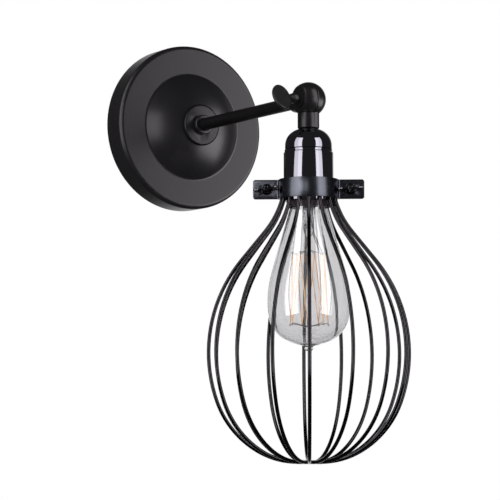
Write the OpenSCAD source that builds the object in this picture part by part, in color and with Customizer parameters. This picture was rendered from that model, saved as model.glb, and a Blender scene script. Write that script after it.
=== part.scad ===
// Cage wall light: a domed wall plate, a straight arm, a ball swivel with a thumb screw,
// a lampholder and a pear-shaped cage of wires, clamped round the holder, with a clear bulb.
// The wall is the plane y = 0 and the light stands out from it towards -Y.

/* [Wall plate] */
// Diameter of the wall plate
canopy_d = 138; // [120:1:170]
// Depth of the wall plate from the wall to its flat ring
canopy_depth = 22; // [16:1:30]
// Rounding of the plate's front edge
canopy_edge_r = 3.5; // [2:0.5:6]
// Diameter of the raised dome where it leaves the flat ring
dome_d = 89; // [70:1:100]
// Height of the dome's flat seat above the wall
dome_seat = 36.2; // [32:0.1:44]
// Thickness of the pressed sheet
sheet_t = 1.2; // [0.8:0.1:2]
// Radius of the hollow where the dome meets the ring
dome_fillet = 3; // [1:0.5:5]

/* [Wall bracket] */
// Length of the strip behind the plate
crossbar_len = 106; // [90:1:112]
// Width of the strip
crossbar_w = 22; // [18:1:28]
// Thickness of the strip
crossbar_t = 2; // [1.5:0.5:3]
// Distance between the two screw slots
box_screw_spacing = 76; // [66:1:80]
// Length of a screw slot from end to end
box_slot_len = 20; // [10:1:20]
// Width of a screw slot
box_slot_w = 5; // [4:0.5:6]

/* [Arm] */
// Distance from the wall to the centre of the ball
arm_reach = 197; // [150:1:260]
// Outer diameter of the arm tube
tube_d = 10.2; // [9:0.1:13]
// Wall of the arm tube
tube_wall = 1.1; // [0.8:0.1:1.6]
// Diameter of the washer on the dome
washer_d = 33; // [24:1:38]
// Thickness of the washer on the dome
washer_t = 2; // [1:0.5:3]
// Diameter of the ring nut on the arm
ring_nut_d = 16; // [15:0.5:20]
// Height of the ring nut
ring_nut_h = 4; // [3:0.5:8]

/* [Swivel] */
// Diameter of the ball
ball_d = 27.2; // [25:0.1:34]
// Distance from the ball's centre to its flat spot face
spot_face = 9.2; // [8.5:0.1:10]
// Diameter of the collar that holds the arm tube
collar_d = 16; // [14:0.5:17]
// Distance from the ball's centre to the collar's end
collar_reach = 18; // [16:0.5:26]
// Diameter of the neck above the lampholder
neck_d = 16.8; // [15:0.2:18]
// Distance from the ball's centre to the neck's lower end
neck_drop = 22.85; // [20:0.05:32]
// Diameter of the pivot screw
pivot_d = 6; // [5:0.5:6]
// Thickness of the friction washer between the two half balls
friction_t = 0.5; // [0.3:0.1:1]

/* [Thumb screw] */
// Length of the oval grip
paddle_len = 22; // [18:1:30]
// Width of the oval grip
paddle_w = 15.8; // [10:0.1:18]
// Thickness of the oval grip
paddle_t = 2.5; // [2:0.1:3.5]
// Lean of the grip, its upper end towards the wall
paddle_turn = 26; // [0:1:90]

/* [Lampholder] */
// How much narrower the holder's cap is than its body
cap_step = 2.2; // [1.2:0.1:4]
// Radius of the cap's round shoulder
cap_round = 13.2; // [8:0.2:16]
// Height of the cap
cap_h = 15.4; // [15:0.1:22]
// Diameter of the holder's body
holder_d = 38.6; // [38:0.2:44]
// Length of the holder's body
holder_len = 41.3; // [36:0.1:50]
// Length of the inner mouth that shows below the body
mouth_len = 4.5; // [3:0.5:7]

/* [Clamp] */
// Height of the clamp strap
strap_h = 15; // [12:0.5:18]
// Thickness of the clamp strap
strap_t = 1; // [0.8:0.1:1.6]
// Length of an ear, from the strap to its end
ear_len = 19.7; // [16:0.1:27]
// Distance from the strap to a clamp screw
clamp_screw_out = 9.2; // [8.8:0.1:14]
// Diameter of the clamp screws
clamp_screw_d = 4; // [3:0.5:4]
// Turn of the clamp about the holder, 0 facing straight out from the wall
clamp_turn = -35.5; // [-90:0.5:90]
// Lean of the left wing nut's wings in the picture plane
wing_lean_left = 9; // [-90:1:90]
// Lean of the right wing nut's wings in the picture plane
wing_lean_right = 3; // [-90:1:90]

/* [Cage] */
// Number of cage wires
cage_wires = 16; // [12:2:16]
// Diameter of a cage wire
wire_d = 2.9; // [2.2:0.1:3]
// Diameter of the cage at its widest, over the wires
cage_d = 157; // [130:1:180]
// Drop from the clamp's lower edge to the widest point
cage_upper = 118.4; // [100:1:140]
// Drop from the widest point to the middle of the bottom weld
cage_lower = 83.8; // [70:1:100]
// How much more a wire flares at most than a straight line from the clamp to the widest point
flare = 13.9; // [9:0.1:17]
// Bend radius where a wire flares out
flare_bend = 70; // [50:1:90]
// Sharp first bend of a wire below the clamp
kick = 18; // [8:1:24]
// Radius of the sharp first bend
kick_bend = 10; // [6:1:20]
// Angle of the first wire from the clamp's front
wire_phase = 4; // [3:0.5:12]
// Radius of the bottom weld
hub_r = 8.8; // [8:0.1:12]

/* [Bulb] */
// Diameter of the bulb
bulb_d = 64; // [60:1:70]
// Drop from the bulb cap's edge to the widest point of the glass
bulb_upper = 77; // [70:1:90]
// Drop from the widest point to the flat bottom of the glass
bulb_lower = 34.7; // [30:0.1:40]
// Radius of the glass neck
bulb_neck_r = 14; // [13.6:0.1:14.4]
// Wall of the glass
glass_t = 0.8; // [0.6:0.1:1.2]
// Number of hairpins in the filament
hairpins = 7; // [5:1:9]

/* [Hidden] */
$fn = 72;
wire_numbers = [for (i = [1:cage_wires]) i];
function wire_name(i) = str("cage_wire_", i < 10 ? "0" : "", i);

// Clearances
eps = 0.01;
thread_gap = 0.05;
seat_gap = 0.05;
turn_gap = 0.3;

// Wall plate and bracket
canopy_r = canopy_d / 2;
tube_r = tube_d / 2;
tube_bore_r = tube_r - tube_wall;
washer_r = washer_d / 2;
washer_round = washer_t * 0.4;
seat_r = washer_r + 0.5;
nut_af = tube_d * 1.6;
nut_h = 4;
lock_washer_t = 1;
ground_screw_x = 20;
ground_screw_r = 2;
ground_head_r = 4;
ground_head_h = 2.4;
lead_r = 1;
lead_x = 2.3;
lead_apart = 1.1;
// Centre of the dome's sphere, so that it passes through the dome's foot and its seat
dome_foot_r = dome_d / 2;
dome_c = (dome_foot_r ^ 2 + canopy_depth ^ 2 - seat_r ^ 2 - dome_seat ^ 2)
    / (2 * (canopy_depth - dome_seat));
dome_r = norm([dome_foot_r, canopy_depth - dome_c]);

// Swivel
ball_r = ball_d / 2;
half_face = friction_t / 2 + seat_gap;
collar_r = collar_d / 2;
neck_r = neck_d / 2;
sweep_r = ball_r + turn_gap;
pivot_r = pivot_d / 2;
pivot_hub_r = pivot_r + 1.6;
wireway_r = 9;
wireway_depth = 5.2;
wireway_bore_r = 2.6;
wireway_bore_x = half_face + wireway_bore_r + 0.1;
tube_socket = sweep_r + 0.2;
nipple_r = 5;
nipple_bore_r = 3.6;
nipple_socket = neck_drop - sweep_r - 0.3;
edge_chamfer = 0.6;
spot_washer_r = 7.5;
spot_washer_t = 1;
pivot_tip = 8.4;
shoulder_r = 4.2;
shoulder_end = 17.4;
paddle_start = 17;
// How far each tip of the oval's two arcs is cut short
paddle_tip = 2;

// Lampholder, all heights are below the ball's centre
cap_r = (holder_d - cap_step) / 2;
cap_top = neck_drop + seat_gap;
cap_edge = cap_top + cap_h;
holder_r = holder_d / 2;
holder_top = cap_edge + 0.2;
holder_end = holder_top + holder_len;
holder_wall = 2.6;
holder_band = 2.2;
holder_shoulder = 1.6;
mouth_end = holder_end + mouth_len;
base_r = 13;
screw_shell_r = base_r + 0.5;
screw_shell_t = 0.4;
insert_r = holder_r - holder_wall - 0.2;
insert_bore = screw_shell_r + 0.2;
insert_top = holder_top + 6;
insert_floor = insert_top + 7;
base_top = insert_floor + 2.6;
base_end = holder_end - 0.6;
shell_end = base_end;
notches = 12;
notch_w = 2.6;
notch_h = 2;
terminal_x = 9;
terminal_r = 2.6;
terminal_h = 2;

// Clamp and cage, in a frame turned with the clamp
strap_in = holder_r + wire_d + 2 * seat_gap;
strap_out = strap_in + strap_t;
ear_reach = strap_out + ear_len;
clamp_screw_reach = strap_out + clamp_screw_out;
strap_top = holder_end - 17.2;
strap_end = strap_top + strap_h;
ear_gap = 1;
ear_face = ear_gap / 2 + strap_t;
ear_round = 2;
ear_fillet = 1.5;
clamp_screw_r = clamp_screw_d / 2;
clamp_hole_r = clamp_screw_r + 0.2;
clamp_head_r = clamp_screw_d * 0.95;
clamp_head_h = clamp_screw_d * 0.6;
clamp_washer_r = clamp_screw_d * 1.1;
clamp_washer_t = 0.8;
clamp_screw_tip = 9;
wing_base_r = clamp_screw_d * 1.05;
wing_base_h = 3.4;
wing_top_r = wing_base_r * 0.8;
wing_tip_r = 2.9;
wing_rise = 6.2;
wing_t = 1.7;
wing_foot = ear_face + clamp_washer_t + seat_gap;
// From the screw to a wing's tip, which turns just clear of the strap
wing_span = clamp_screw_reach + wing_tip_r
    - sqrt((strap_out + wing_tip_r + turn_gap) ^ 2 - (wing_foot + wing_rise) ^ 2);

wire_r = wire_d / 2;
wire_line_r = holder_r + seat_gap + wire_r;
wire_start = strap_top + 1.2;
wire_bend = strap_end - 0.6;
belly_z = wire_bend + 0.6 + cage_upper;
belly_r = cage_d / 2 - wire_r;
steepest = flare + atan((belly_r - wire_line_r) / (belly_z - wire_bend));
// How far each wire is turned from an even spacing, as the cage is welded by hand
wire_sway = [-2.2, 0, 2.3, 2.4, 0, -1.5, 2, 0.3, 0.5, 0, 0, -0.5, -0.5, -0.5, -1.5, -0.5];
seam_trim = 0.05;
seam_half = 0.3;
seam_cover = 0.02;
hub_gap = 0.05;
hub_h = wire_d + 0.2;

// Bulb, with the glass leaving its cap at base_end
glass_start = base_end + 0.4;
bulb_r = bulb_d / 2;
bulb_belly = base_end + bulb_upper;
bulb_bottom = bulb_belly + bulb_lower;
pip_r = 2.8;
stem_end = base_end + 34;
stem_r = 4.4;
stem_tip_r = 2.4;
stem_flare_r = bulb_neck_r - glass_t - 0.2;
rod_r = 1;
rod_end = bulb_belly + 20;
filament_top = base_end + 43;
filament_end = bulb_belly + 18;
filament_top_r = 12.5;
filament_end_r = 15;
filament_r = 0.25;
bead_r = 0.45;
support_r = 0.2;
support_gap = 0.1;
button_r = 1.9;

// ---- Paths made of arcs and straight runs that flow into each other ----
// A place is [x, y, heading]. A move is [radius, turn], or [length, 0] for a straight run.
// A positive turn bends to the left.
function arc_centre(p, m) = [p.x - sign(m[1]) * m[0] * sin(p.z), p.y + sign(m[1]) * m[0] * cos(p.z)];
function moved(p, m) = m[1] == 0
    ? [p.x + m[0] * cos(p.z), p.y + m[0] * sin(p.z), p.z]
    : let (c = arc_centre(p, m), h = p.z + m[1], k = sign(m[1]) * m[0])
        [c.x + k * sin(h), c.y - k * cos(h), h];
function places(p, moves, i = 0) = i == len(moves)
    ? [p]
    : concat([p], places(moved(p, moves[i]), moves, i + 1));
// Points along a path, with a point every few degrees of each arc
function path_points(start, moves, step = 6) = let (stops = places(start, moves))
    concat([[start.x, start.y]],
        [for (i = [0:len(moves) - 1]) let (n = max(1, ceil(abs(moves[i][1]) / step)))
            for (j = [1:n]) let (
                part = moves[i][1] == 0 ? [moves[i][0] * j / n, 0] : [moves[i][0], moves[i][1] * j / n],
                q = moved(stops[i], part)) [q.x, q.y]]);
// The same path, shifted to its left by t
function shifted(moves, t) = [for (m = moves) m[1] == 0 ? m : [m[0] - sign(m[1]) * t, m[1]]];
function solved(a, b, c, d, e, f) = [(e * d - b * f) / (a * d - b * c), (a * f - e * c) / (a * d - b * c)];
// Moves of a pear outline from the middle of its bottom up to its mouth, where it ends upright.
// The radii of its bottom, hip and belly and its straight flank follow from its sizes.
function pear(mouth_r, mouth_h, belly_r, foot_r, foot_h, flare, neck, kick, kick_r, hip, heel) =
    let (upper = solved(1 - cos(flare), sin(flare), sin(flare), cos(flare),
            belly_r - mouth_r - neck * (cos(kick) - cos(flare)) - kick_r * (1 - cos(kick)),
            mouth_h - neck * (sin(flare) - sin(kick)) - kick_r * sin(kick)),
        lower = solved(cos(hip) - cos(heel), cos(heel), sin(heel) - sin(hip), 1 - sin(heel),
            belly_r - foot_r - upper[0] * (1 - cos(hip)),
            foot_h - upper[0] * sin(hip)))
    concat([[lower[1], 90 - heel], [lower[0], heel - hip], [upper[0], hip + flare], [upper[1], 0],
        [neck, kick - flare]], kick == 0 ? [] : [[kick_r, -kick]]);

// ---- Frames ----
// Local Z points straight out from the wall
module from_wall(out = 0) {
    translate([0, -out, 0]) rotate([90, 0, 0]) children();
}

// The origin moves to the ball's centre
module at_ball() {
    translate([0, -arm_reach, 0]) children();
}

// The head's frame, turned so that the clamp faces local -Y
module at_clamp() {
    at_ball() rotate([0, 0, clamp_turn]) children();
}

// Local Z points from the clamp's middle plane towards its front, at one clamp screw
module at_clamp_screw(side) {
    at_clamp() translate([side * clamp_screw_reach, 0, -(strap_top + strap_end) / 2])
        rotate([90, 0, 0]) children();
}

// Local Z points along the pivot screw, from the ball's centre to the thumb screw
module along_pivot() {
    at_ball() rotate([0, -90, 0]) children();
}

// ---- Small shapes ----
// A ring or tube that stands on its lower face
module ring(outer, inner, h) {
    difference() {
        cylinder(r = outer, h = h);
        translate([0, 0, -1]) cylinder(r = inner, h = h + 2);
    }
}

// A round bar between two points
module bar(p, q, r) {
    d = q - p;
    translate(p) rotate([0, acos(d.z / norm(d)), atan2(d.y, d.x)]) cylinder(r = r, h = norm(d));
}

// Fills the corner between a circle round the origin and the line y = h outside it
module corner_fill(circle_r, h, fill_r) {
    c = [sqrt((circle_r + fill_r) ^ 2 - (h + fill_r) ^ 2), h + fill_r];
    bite = 0.3;
    difference() {
        polygon([c * circle_r / (circle_r + fill_r), c, [c.x, h],
            [sqrt(circle_r ^ 2 - h ^ 2) - bite, h - bite]]);
        translate(c) circle(r = fill_r);
    }
}

// ---- Wall plate ----
// The plate as a solid, shrunk by a wall thickness
module canopy_form(inset) {
    ring_z = canopy_depth - inset;
    edge_x = canopy_r - canopy_edge_r;
    edge_z = canopy_depth - canopy_edge_r;
    rotate_extrude() {
        square([edge_x, ring_z]);
        square([canopy_r - inset, edge_z]);
        translate([edge_x, edge_z]) circle(r = canopy_edge_r - inset);
    }
    intersection() {
        translate([0, 0, dome_c]) sphere(r = dome_r - inset);
        cylinder(r = dome_foot_r + dome_fillet, h = dome_seat - inset);
    }
    translate([0, 0, dome_c]) rotate_extrude()
        corner_fill(dome_r - inset, ring_z - dome_c, dome_fillet + inset);
}

module canopy() {
    color("#1c1c1e") from_wall() difference() {
        canopy_form(0);
        translate([0, 0, -eps]) canopy_form(sheet_t);
        cylinder(r = tube_r + 0.2, h = dome_seat + 1);
    }
}

module slot(len, w, h) {
    for (side = [-1, 1]) translate([side * (len - w) / 2, 0, 0]) cylinder(r = w / 2, h = h);
    translate([-(len - w) / 2, -w / 2, 0]) cube([len - w, w, h]);
}

module wall_crossbar() {
    color("#c2c4c2") from_wall() difference() {
        intersection() {
            translate([-crossbar_len / 2, -crossbar_w / 2, 0]) cube([crossbar_len, crossbar_w, crossbar_t]);
            cylinder(r = crossbar_len / 2, h = crossbar_t);
        }
        translate([0, 0, -1]) cylinder(r = tube_r + thread_gap, h = crossbar_t + 2);
        for (side = [-1, 1])
            translate([side * box_screw_spacing / 2, 0, -1]) slot(box_slot_len, box_slot_w, crossbar_t + 2);
        translate([ground_screw_x, 0, -1]) cylinder(r = ground_screw_r + thread_gap, h = crossbar_t + 2);
    }
}

module lock_washer() {
    color("#b9bbb8") from_wall(crossbar_t) difference() {
        ring(nut_af / 2, tube_r + thread_gap, lock_washer_t);
        for (a = [0:30:330]) rotate(a) translate([nut_af / 2 - 1, -0.5, -1]) cube([2, 1, lock_washer_t + 2]);
    }
}

module crossbar_nut() {
    color("#c8c9c6") from_wall(crossbar_t + lock_washer_t) difference() {
        cylinder(r = nut_af / 2 / cos(30), h = nut_h, $fn = 6);
        translate([0, 0, -1]) cylinder(r = tube_r + thread_gap, h = nut_h + 2);
    }
}

module ground_screw() {
    color("#3c7a46") from_wall() translate([ground_screw_x, 0, 0]) difference() {
        union() {
            cylinder(r = ground_screw_r, h = crossbar_t + eps);
            translate([0, 0, crossbar_t]) cylinder(r = ground_head_r, h = ground_head_h);
        }
        translate([-ground_head_r, -0.5, crossbar_t + ground_head_h / 2])
            cube([2 * ground_head_r, 1, ground_head_h]);
    }
}

module canopy_washer() {
    color("#1c1c1e") from_wall(dome_seat) difference() {
        rotate_extrude() {
            square([washer_r - washer_round, washer_t]);
            square([washer_r, washer_t - washer_round]);
            translate([washer_r - washer_round, washer_t - washer_round]) circle(r = washer_round);
        }
        translate([0, 0, -1]) cylinder(r = tube_r + thread_gap, h = washer_t + 2);
    }
}

// A ring nut with a bevel at its outer end
module ring_nut() {
    r = ring_nut_d / 2;
    color("#1c1c1e") from_wall(dome_seat + washer_t) difference() {
        union() {
            cylinder(r = r, h = ring_nut_h - edge_chamfer);
            translate([0, 0, ring_nut_h - edge_chamfer])
                cylinder(r1 = r, r2 = r - edge_chamfer, h = edge_chamfer);
        }
        translate([0, 0, -1]) cylinder(r = tube_r + thread_gap, h = ring_nut_h + 2);
    }
}

// ---- Arm ----
module arm_tube() {
    color("#161617") from_wall() ring(tube_r, tube_bore_r, arm_reach - tube_socket);
}

// Two insulated wires from the wall to the wireway in the ball
module supply_leads() {
    color("#e8e4dc") from_wall(1) for (side = [-1, 1])
        translate([-lead_x, side * lead_apart, 0]) cylinder(r = lead_r, h = arm_reach - wireway_r);
}

// ---- Swivel ----
// A half ball on the side where local z is over half_face, hollowed for the wires round the screw
module half_ball() {
    difference() {
        sphere(r = ball_r);
        translate([0, 0, half_face - ball_d]) cube(2 * ball_d, center = true);
    }
}

module half_wireway() {
    translate([0, 0, half_face - 1]) ring(wireway_r, pivot_hub_r, wireway_depth + 1);
}

// The other half's side, which a neck or collar leaves free
module other_half_sweep() {
    intersection() {
        sphere(r = sweep_r);
        translate([0, 0, half_face - ball_d]) cube(2 * ball_d, center = true);
    }
}

// A stub that stands out of the ball along local X, with a bevel at its end
module stub(r, reach) {
    rotate([0, 90, 0]) {
        cylinder(r = r, h = reach - edge_chamfer);
        translate([0, 0, reach - edge_chamfer]) cylinder(r1 = r, r2 = r - edge_chamfer, h = edge_chamfer);
    }
}

module arm_knuckle() {
    color("#1a1a1b") along_pivot() difference() {
        union() {
            half_ball();
            difference() {
                rotate([0, 0, 90]) stub(collar_r, collar_reach);
                other_half_sweep();
            }
        }
        translate([0, 0, spot_face]) cylinder(r = ball_r, h = ball_r);
        half_wireway();
        cylinder(r = pivot_r + thread_gap, h = ball_r);
        rotate([-90, 0, 0]) {
            translate([0, 0, tube_socket]) cylinder(r = tube_r + thread_gap, h = collar_reach);
            translate([0, -wireway_bore_x, wireway_r - 2])
                cylinder(r = wireway_bore_r, h = tube_socket - wireway_r + 3);
        }
    }
}

module spot_washer() {
    color("#202021") along_pivot() translate([0, 0, spot_face])
        ring(spot_washer_r, pivot_r + 0.2, spot_washer_t);
}

module friction_washer() {
    color("#5a5a58") along_pivot() translate([0, 0, -friction_t / 2])
        ring(ball_r - 0.8, wireway_r + 0.2, friction_t);
}

// The thumb screw: a shank through both half balls, a shoulder and a flat oval grip
module thumb_screw() {
    tip = paddle_len / 2 + paddle_tip;
    bow_r = (tip ^ 2 + (paddle_w / 2) ^ 2) / paddle_w;
    mid = paddle_start + paddle_w / 2;
    color("#1a1a1b") along_pivot() rotate([0, 0, paddle_turn]) {
        translate([0, 0, -pivot_tip]) cylinder(r = pivot_r, h = pivot_tip + shoulder_end);
        translate([0, 0, spot_face + spot_washer_t + seat_gap])
            cylinder(r = shoulder_r, h = shoulder_end - spot_face - spot_washer_t - seat_gap - 2);
        translate([0, 0, shoulder_end - 2]) cylinder(r1 = shoulder_r, r2 = paddle_t / 2 + 0.6, h = 4);
        translate([0, paddle_t / 2, mid]) rotate([90, 0, 0]) linear_extrude(paddle_t) intersection() {
            translate([0, bow_r - paddle_w / 2]) circle(r = bow_r);
            translate([0, paddle_w / 2 - bow_r]) circle(r = bow_r);
            circle(r = paddle_len / 2);
        }
    }
}

module head_knuckle() {
    color("#1a1a1b") at_ball() difference() {
        union() {
            rotate([0, 90, 0]) half_ball();
            difference() {
                rotate([0, 90, 0]) stub(neck_r, neck_drop);
                rotate([0, 90, 0]) other_half_sweep();
            }
        }
        rotate([0, 90, 0]) half_wireway();
        rotate([0, 90, 0]) cylinder(r = pivot_r + thread_gap, h = pivot_tip + 0.6);
        translate([0, 0, -neck_drop - 1]) cylinder(r = nipple_r + thread_gap, h = nipple_socket + 1);
        translate([wireway_bore_x, 0, nipple_socket - neck_drop - 1])
            cylinder(r = wireway_bore_r, h = neck_drop - nipple_socket - wireway_r + 3);
    }
}

// ---- Lampholder ----
module neck_nipple() {
    nipple_end = cap_top + 6;
    color("#b9a46a") at_ball() translate([0, 0, -nipple_end])
        ring(nipple_r, nipple_bore_r, nipple_end - neck_drop + nipple_socket - seat_gap);
}

module cap_nut() {
    color("#c8c9c6") at_ball() translate([0, 0, -(cap_top + 5)]) difference() {
        cylinder(r = 8, h = 3, $fn = 6);
        translate([0, 0, -1]) cylinder(r = nipple_r + thread_gap, h = 5);
    }
}

// Half outline of the cap, upside down, with its flat top at zero
module cap_outline(inset, len) {
    flat = cap_r - cap_round;
    intersection() {
        union() {
            translate([flat, cap_round]) circle(r = cap_round - inset);
            translate([0, inset]) square([flat, cap_round]);
            translate([0, cap_round]) square([cap_r - inset, len]);
        }
        square([cap_r, len]);
    }
}

module holder_cap() {
    color("#0d0c12") at_ball() translate([0, 0, -cap_top]) mirror([0, 0, 1]) difference() {
        rotate_extrude() cap_outline(0, cap_h);
        rotate_extrude() cap_outline(1.6, cap_h + 1);
        translate([0, 0, -1]) cylinder(r = nipple_r + thread_gap, h = 4);
    }
}

// The holder's body: a narrow band under the cap, a sloping shoulder and a straight barrel
module holder_shell() {
    band_r = cap_r + 0.4;
    color("#0d0c12") at_ball() translate([0, 0, -holder_top]) mirror([0, 0, 1]) difference() {
        rotate_extrude() polygon([[0, 0], [band_r, 0], [band_r, holder_band],
            [holder_r, holder_band + holder_shoulder], [holder_r, holder_len - 0.8],
            [holder_r - 0.8, holder_len], [0, holder_len]]);
        translate([0, 0, -1]) cylinder(r = holder_r - holder_wall, h = holder_len + 2);
    }
}

// The insulating cup that carries the contacts, with a notched mouth below the body
module socket_insert() {
    color("#241815") at_ball() mirror([0, 0, 1]) difference() {
        translate([0, 0, insert_top]) cylinder(r = insert_r, h = mouth_end - insert_top);
        translate([0, 0, insert_floor]) cylinder(r = insert_bore, h = mouth_end);
        translate([0, 0, base_end]) cylinder(r = bulb_neck_r + 1.2, h = mouth_end);
        for (side = [-1, 1])
            translate([side * terminal_x, 0, insert_top - 1]) cylinder(r = 1.2, h = 4);
        for (i = [0:notches - 1]) rotate(i * 360 / notches)
            translate([0, -notch_w / 2, mouth_end - notch_h]) cube([insert_r + 1, notch_w, notch_h + 1]);
    }
}

module screw_shell() {
    color("#c9a45c") at_ball() mirror([0, 0, 1]) translate([0, 0, insert_floor + 0.1]) difference() {
        cylinder(r = screw_shell_r, h = shell_end - insert_floor);
        translate([0, 0, screw_shell_t]) cylinder(r = screw_shell_r - screw_shell_t, h = shell_end);
        translate([0, 0, -1]) cylinder(r = 8, h = 3);
    }
}

// A leaf that rises from the cup's floor to press on the bulb's contact
module centre_contact() {
    leaf_w = 5;
    leaf_t = 0.5;
    gap = base_top - insert_floor - 0.2;
    color("#c9a45c") at_ball() mirror([0, 0, 1]) translate([0, -leaf_w / 2, insert_floor + 0.05]) {
        translate([-6, 0, 0]) cube([5, leaf_w, leaf_t]);
        rotate([-90, 0, 0]) linear_extrude(leaf_w) mirror([0, 1])
            polygon([[-1.6, 0], [-1, 0], [1, gap - leaf_t], [3.5, gap - leaf_t], [3.5, gap], [0.8, gap],
                [-1.3, leaf_t], [-1.6, leaf_t]]);
    }
}

module terminal_screws() {
    color("#d0b070") at_ball() mirror([0, 0, 1]) for (side = [-1, 1])
        translate([side * terminal_x, 0, insert_top]) difference() {
            union() {
                cylinder(r = 1.1, h = 2.8);
                translate([0, 0, -terminal_h]) cylinder(r = terminal_r, h = terminal_h);
            }
            translate([-terminal_r, -0.4, -terminal_h - 1]) cube([2 * terminal_r, 0.8, 1.9]);
        }
}

// Two wires from the swivel's wireway through the nipple to the terminals
module holder_leads() {
    bend_z = -(cap_top + 11);
    color("#e8e4dc") at_ball() for (side = [-1, 1]) {
        knee = [lead_x, side * lead_apart, bend_z];
        foot = [side * (terminal_x - 1), 0, -(insert_top - terminal_h - lead_r - 0.4)];
        bar([lead_x, side * lead_apart, -wireway_r], knee, lead_r);
        translate(knee) sphere(r = lead_r * 1.05);
        bar(knee, foot, lead_r);
    }
}

// ---- Clamp ----
// One half of the clamp: half a strap and an ear at each end, bent square to it
module half_clamp() {
    difference() {
        translate([0, 0, -strap_end]) {
            cylinder(r = strap_out, h = strap_h);
            for (side = [0, 1]) mirror([side, 0, 0]) {
                translate([0, -ear_face, 0]) cube([ear_reach, strap_t, strap_h]);
                linear_extrude(strap_h) mirror([0, 1]) corner_fill(strap_out, ear_face, ear_fillet);
            }
        }
        translate([0, 0, -strap_end - 1]) cylinder(r = strap_in, h = strap_h + 2);
        translate([-ear_reach - 1, -ear_gap / 2, -strap_end - 1])
            cube([2 * ear_reach + 2, ear_reach, strap_h + 2]);
        for (side = [-1, 1]) {
            translate([side * clamp_screw_reach, 0, -(strap_top + strap_end) / 2]) rotate([90, 0, 0])
                cylinder(r = clamp_hole_r, h = ear_face + 1);
            for (z = [-strap_top, -strap_end]) ear_corner(side, z);
        }
    }
}

// What is cut off to round one outer corner of an ear
module ear_corner(side, z) {
    inward = z == -strap_top ? -1 : 1;
    c = [side * (ear_reach - ear_round), z + inward * ear_round];
    translate([0, ear_face, 0]) rotate([90, 0, 0]) linear_extrude(3 * ear_face) difference() {
        translate(c + [side > 0 ? 0 : -ear_round - 1, inward > 0 ? -ear_round - 1 : 0])
            square(ear_round + 1);
        translate(c) circle(r = ear_round);
    }
}

module collar_front() {
    color("#2b2f38") at_clamp() half_clamp();
}

module collar_back() {
    color("#2b2f38") at_clamp() rotate([0, 0, 180]) half_clamp();
}

// Two round-headed screws, put in from the back
module clamp_screws() {
    color("#17171a") for (side = [-1, 1]) at_clamp_screw(side) {
        translate([0, 0, -ear_face]) cylinder(r = clamp_screw_r, h = ear_face + clamp_screw_tip);
        translate([0, 0, -ear_face - clamp_head_h]) intersection() {
            cylinder(r = clamp_head_r, h = clamp_head_h);
            translate([0, 0, clamp_head_r * 1.2]) sphere(r = clamp_head_r * 1.3);
        }
    }
}

module clamp_washers() {
    color("#17171a") for (side = [-1, 1]) at_clamp_screw(side)
        translate([0, 0, ear_face]) ring(clamp_washer_r, clamp_hole_r, clamp_washer_t);
}

// A wing nut that stands on its base, with its wings along local X
module wing_nut() {
    tip = [wing_span - wing_tip_r, wing_rise];
    web_r = wing_tip_r * 0.9;
    difference() {
        union() {
            cylinder(r1 = wing_base_r, r2 = wing_top_r, h = wing_base_h);
            for (side = [0, 1]) mirror([side, 0, 0]) translate([0, wing_t / 2, 0]) rotate([90, 0, 0]) {
                translate(tip) cylinder(r = wing_tip_r, h = wing_t);
                linear_extrude(wing_t)
                    polygon([[1, 0.6], [wing_base_r - 0.5, 0.6], tip + web_r * [cos(-55), sin(-55)],
                        tip + web_r * [cos(120), sin(120)], [1, wing_base_h + 0.4]]);
            }
        }
        translate([0, 0, -1]) cylinder(r = clamp_screw_r + thread_gap, h = 2 * wing_rise);
    }
}

module placed_wing_nut(side, lean) {
    color("#17171a") at_clamp_screw(side) translate([0, 0, wing_foot])
        rotate([0, 0, -lean]) wing_nut();
}

module wing_nut_left() {
    placed_wing_nut(-1, wing_lean_left);
}

module wing_nut_right() {
    placed_wing_nut(1, wing_lean_right);
}

// ---- Cage ----
cage_moves = pear(wire_line_r, belly_z - wire_bend, belly_r, hub_r + hub_gap, cage_lower,
    steepest, flare_bend, kick, kick_bend, 20, 60);
cage_start = [hub_r + hub_gap, -(belly_z + cage_lower), 0];

// A round bar in the XY plane, from place p along its heading
module wire_bar(p, start, end, r) {
    translate([p.x, p.y, 0]) rotate([0, 0, p.z]) rotate([0, 90, 0]) translate([0, 0, start])
        cylinder(r = r, h = end - start);
}

// One leg of a wire in the XY plane, from place p along move m, a little short at both ends
module wire_leg(p, m) {
    trim = seam_trim / m[0] * 180 / PI;
    if (m[1] == 0)
        wire_bar(p, seam_trim, m[0] - seam_trim, wire_r);
    else
        translate(arc_centre(p, m)) rotate([0, 0, p.z + trim + (m[1] > 0 ? -90 : 90 + m[1])])
            rotate_extrude(angle = abs(m[1]) - 2 * trim) translate([m[0], 0]) circle(r = wire_r);
}

// A cage wire, bent in one upright plane from the bottom weld up to the clamp, with a fine sleeve
// that joins each two legs
module cage_wire(i) {
    stops = places(cage_start, cage_moves);
    last = len(cage_moves);
    sway = wire_sway[(i - 1) % len(wire_sway)];
    color("#101012") at_clamp() rotate([0, 0, wire_phase + (i - 1) * 360 / cage_wires + sway - 90])
        rotate([90, 0, 0]) {
            for (j = [0:last - 1]) wire_leg(stops[j], cage_moves[j]);
            for (j = [1:last]) wire_bar(stops[j], -seam_half, seam_half, wire_r + seam_cover);
            wire_leg(stops[last], [wire_bend - wire_start, 0]);
        }
}

module cage_hub() {
    color("#101012") at_clamp() translate([0, 0, cage_start.y - hub_h / 2]) cylinder(r = hub_r, h = hub_h);
}

// ---- Bulb ----
glass_moves = pear(bulb_neck_r, bulb_belly - glass_start, bulb_r, 0, bulb_lower, 16, 24, 0, 0, 10, 58);

// Half of the glass's outline, shrunk by a wall thickness
module glass_outline(inset) {
    polygon(concat(path_points([0, -bulb_bottom + inset, 0], shifted(glass_moves, inset)),
        [[0, -glass_start]]));
}

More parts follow.
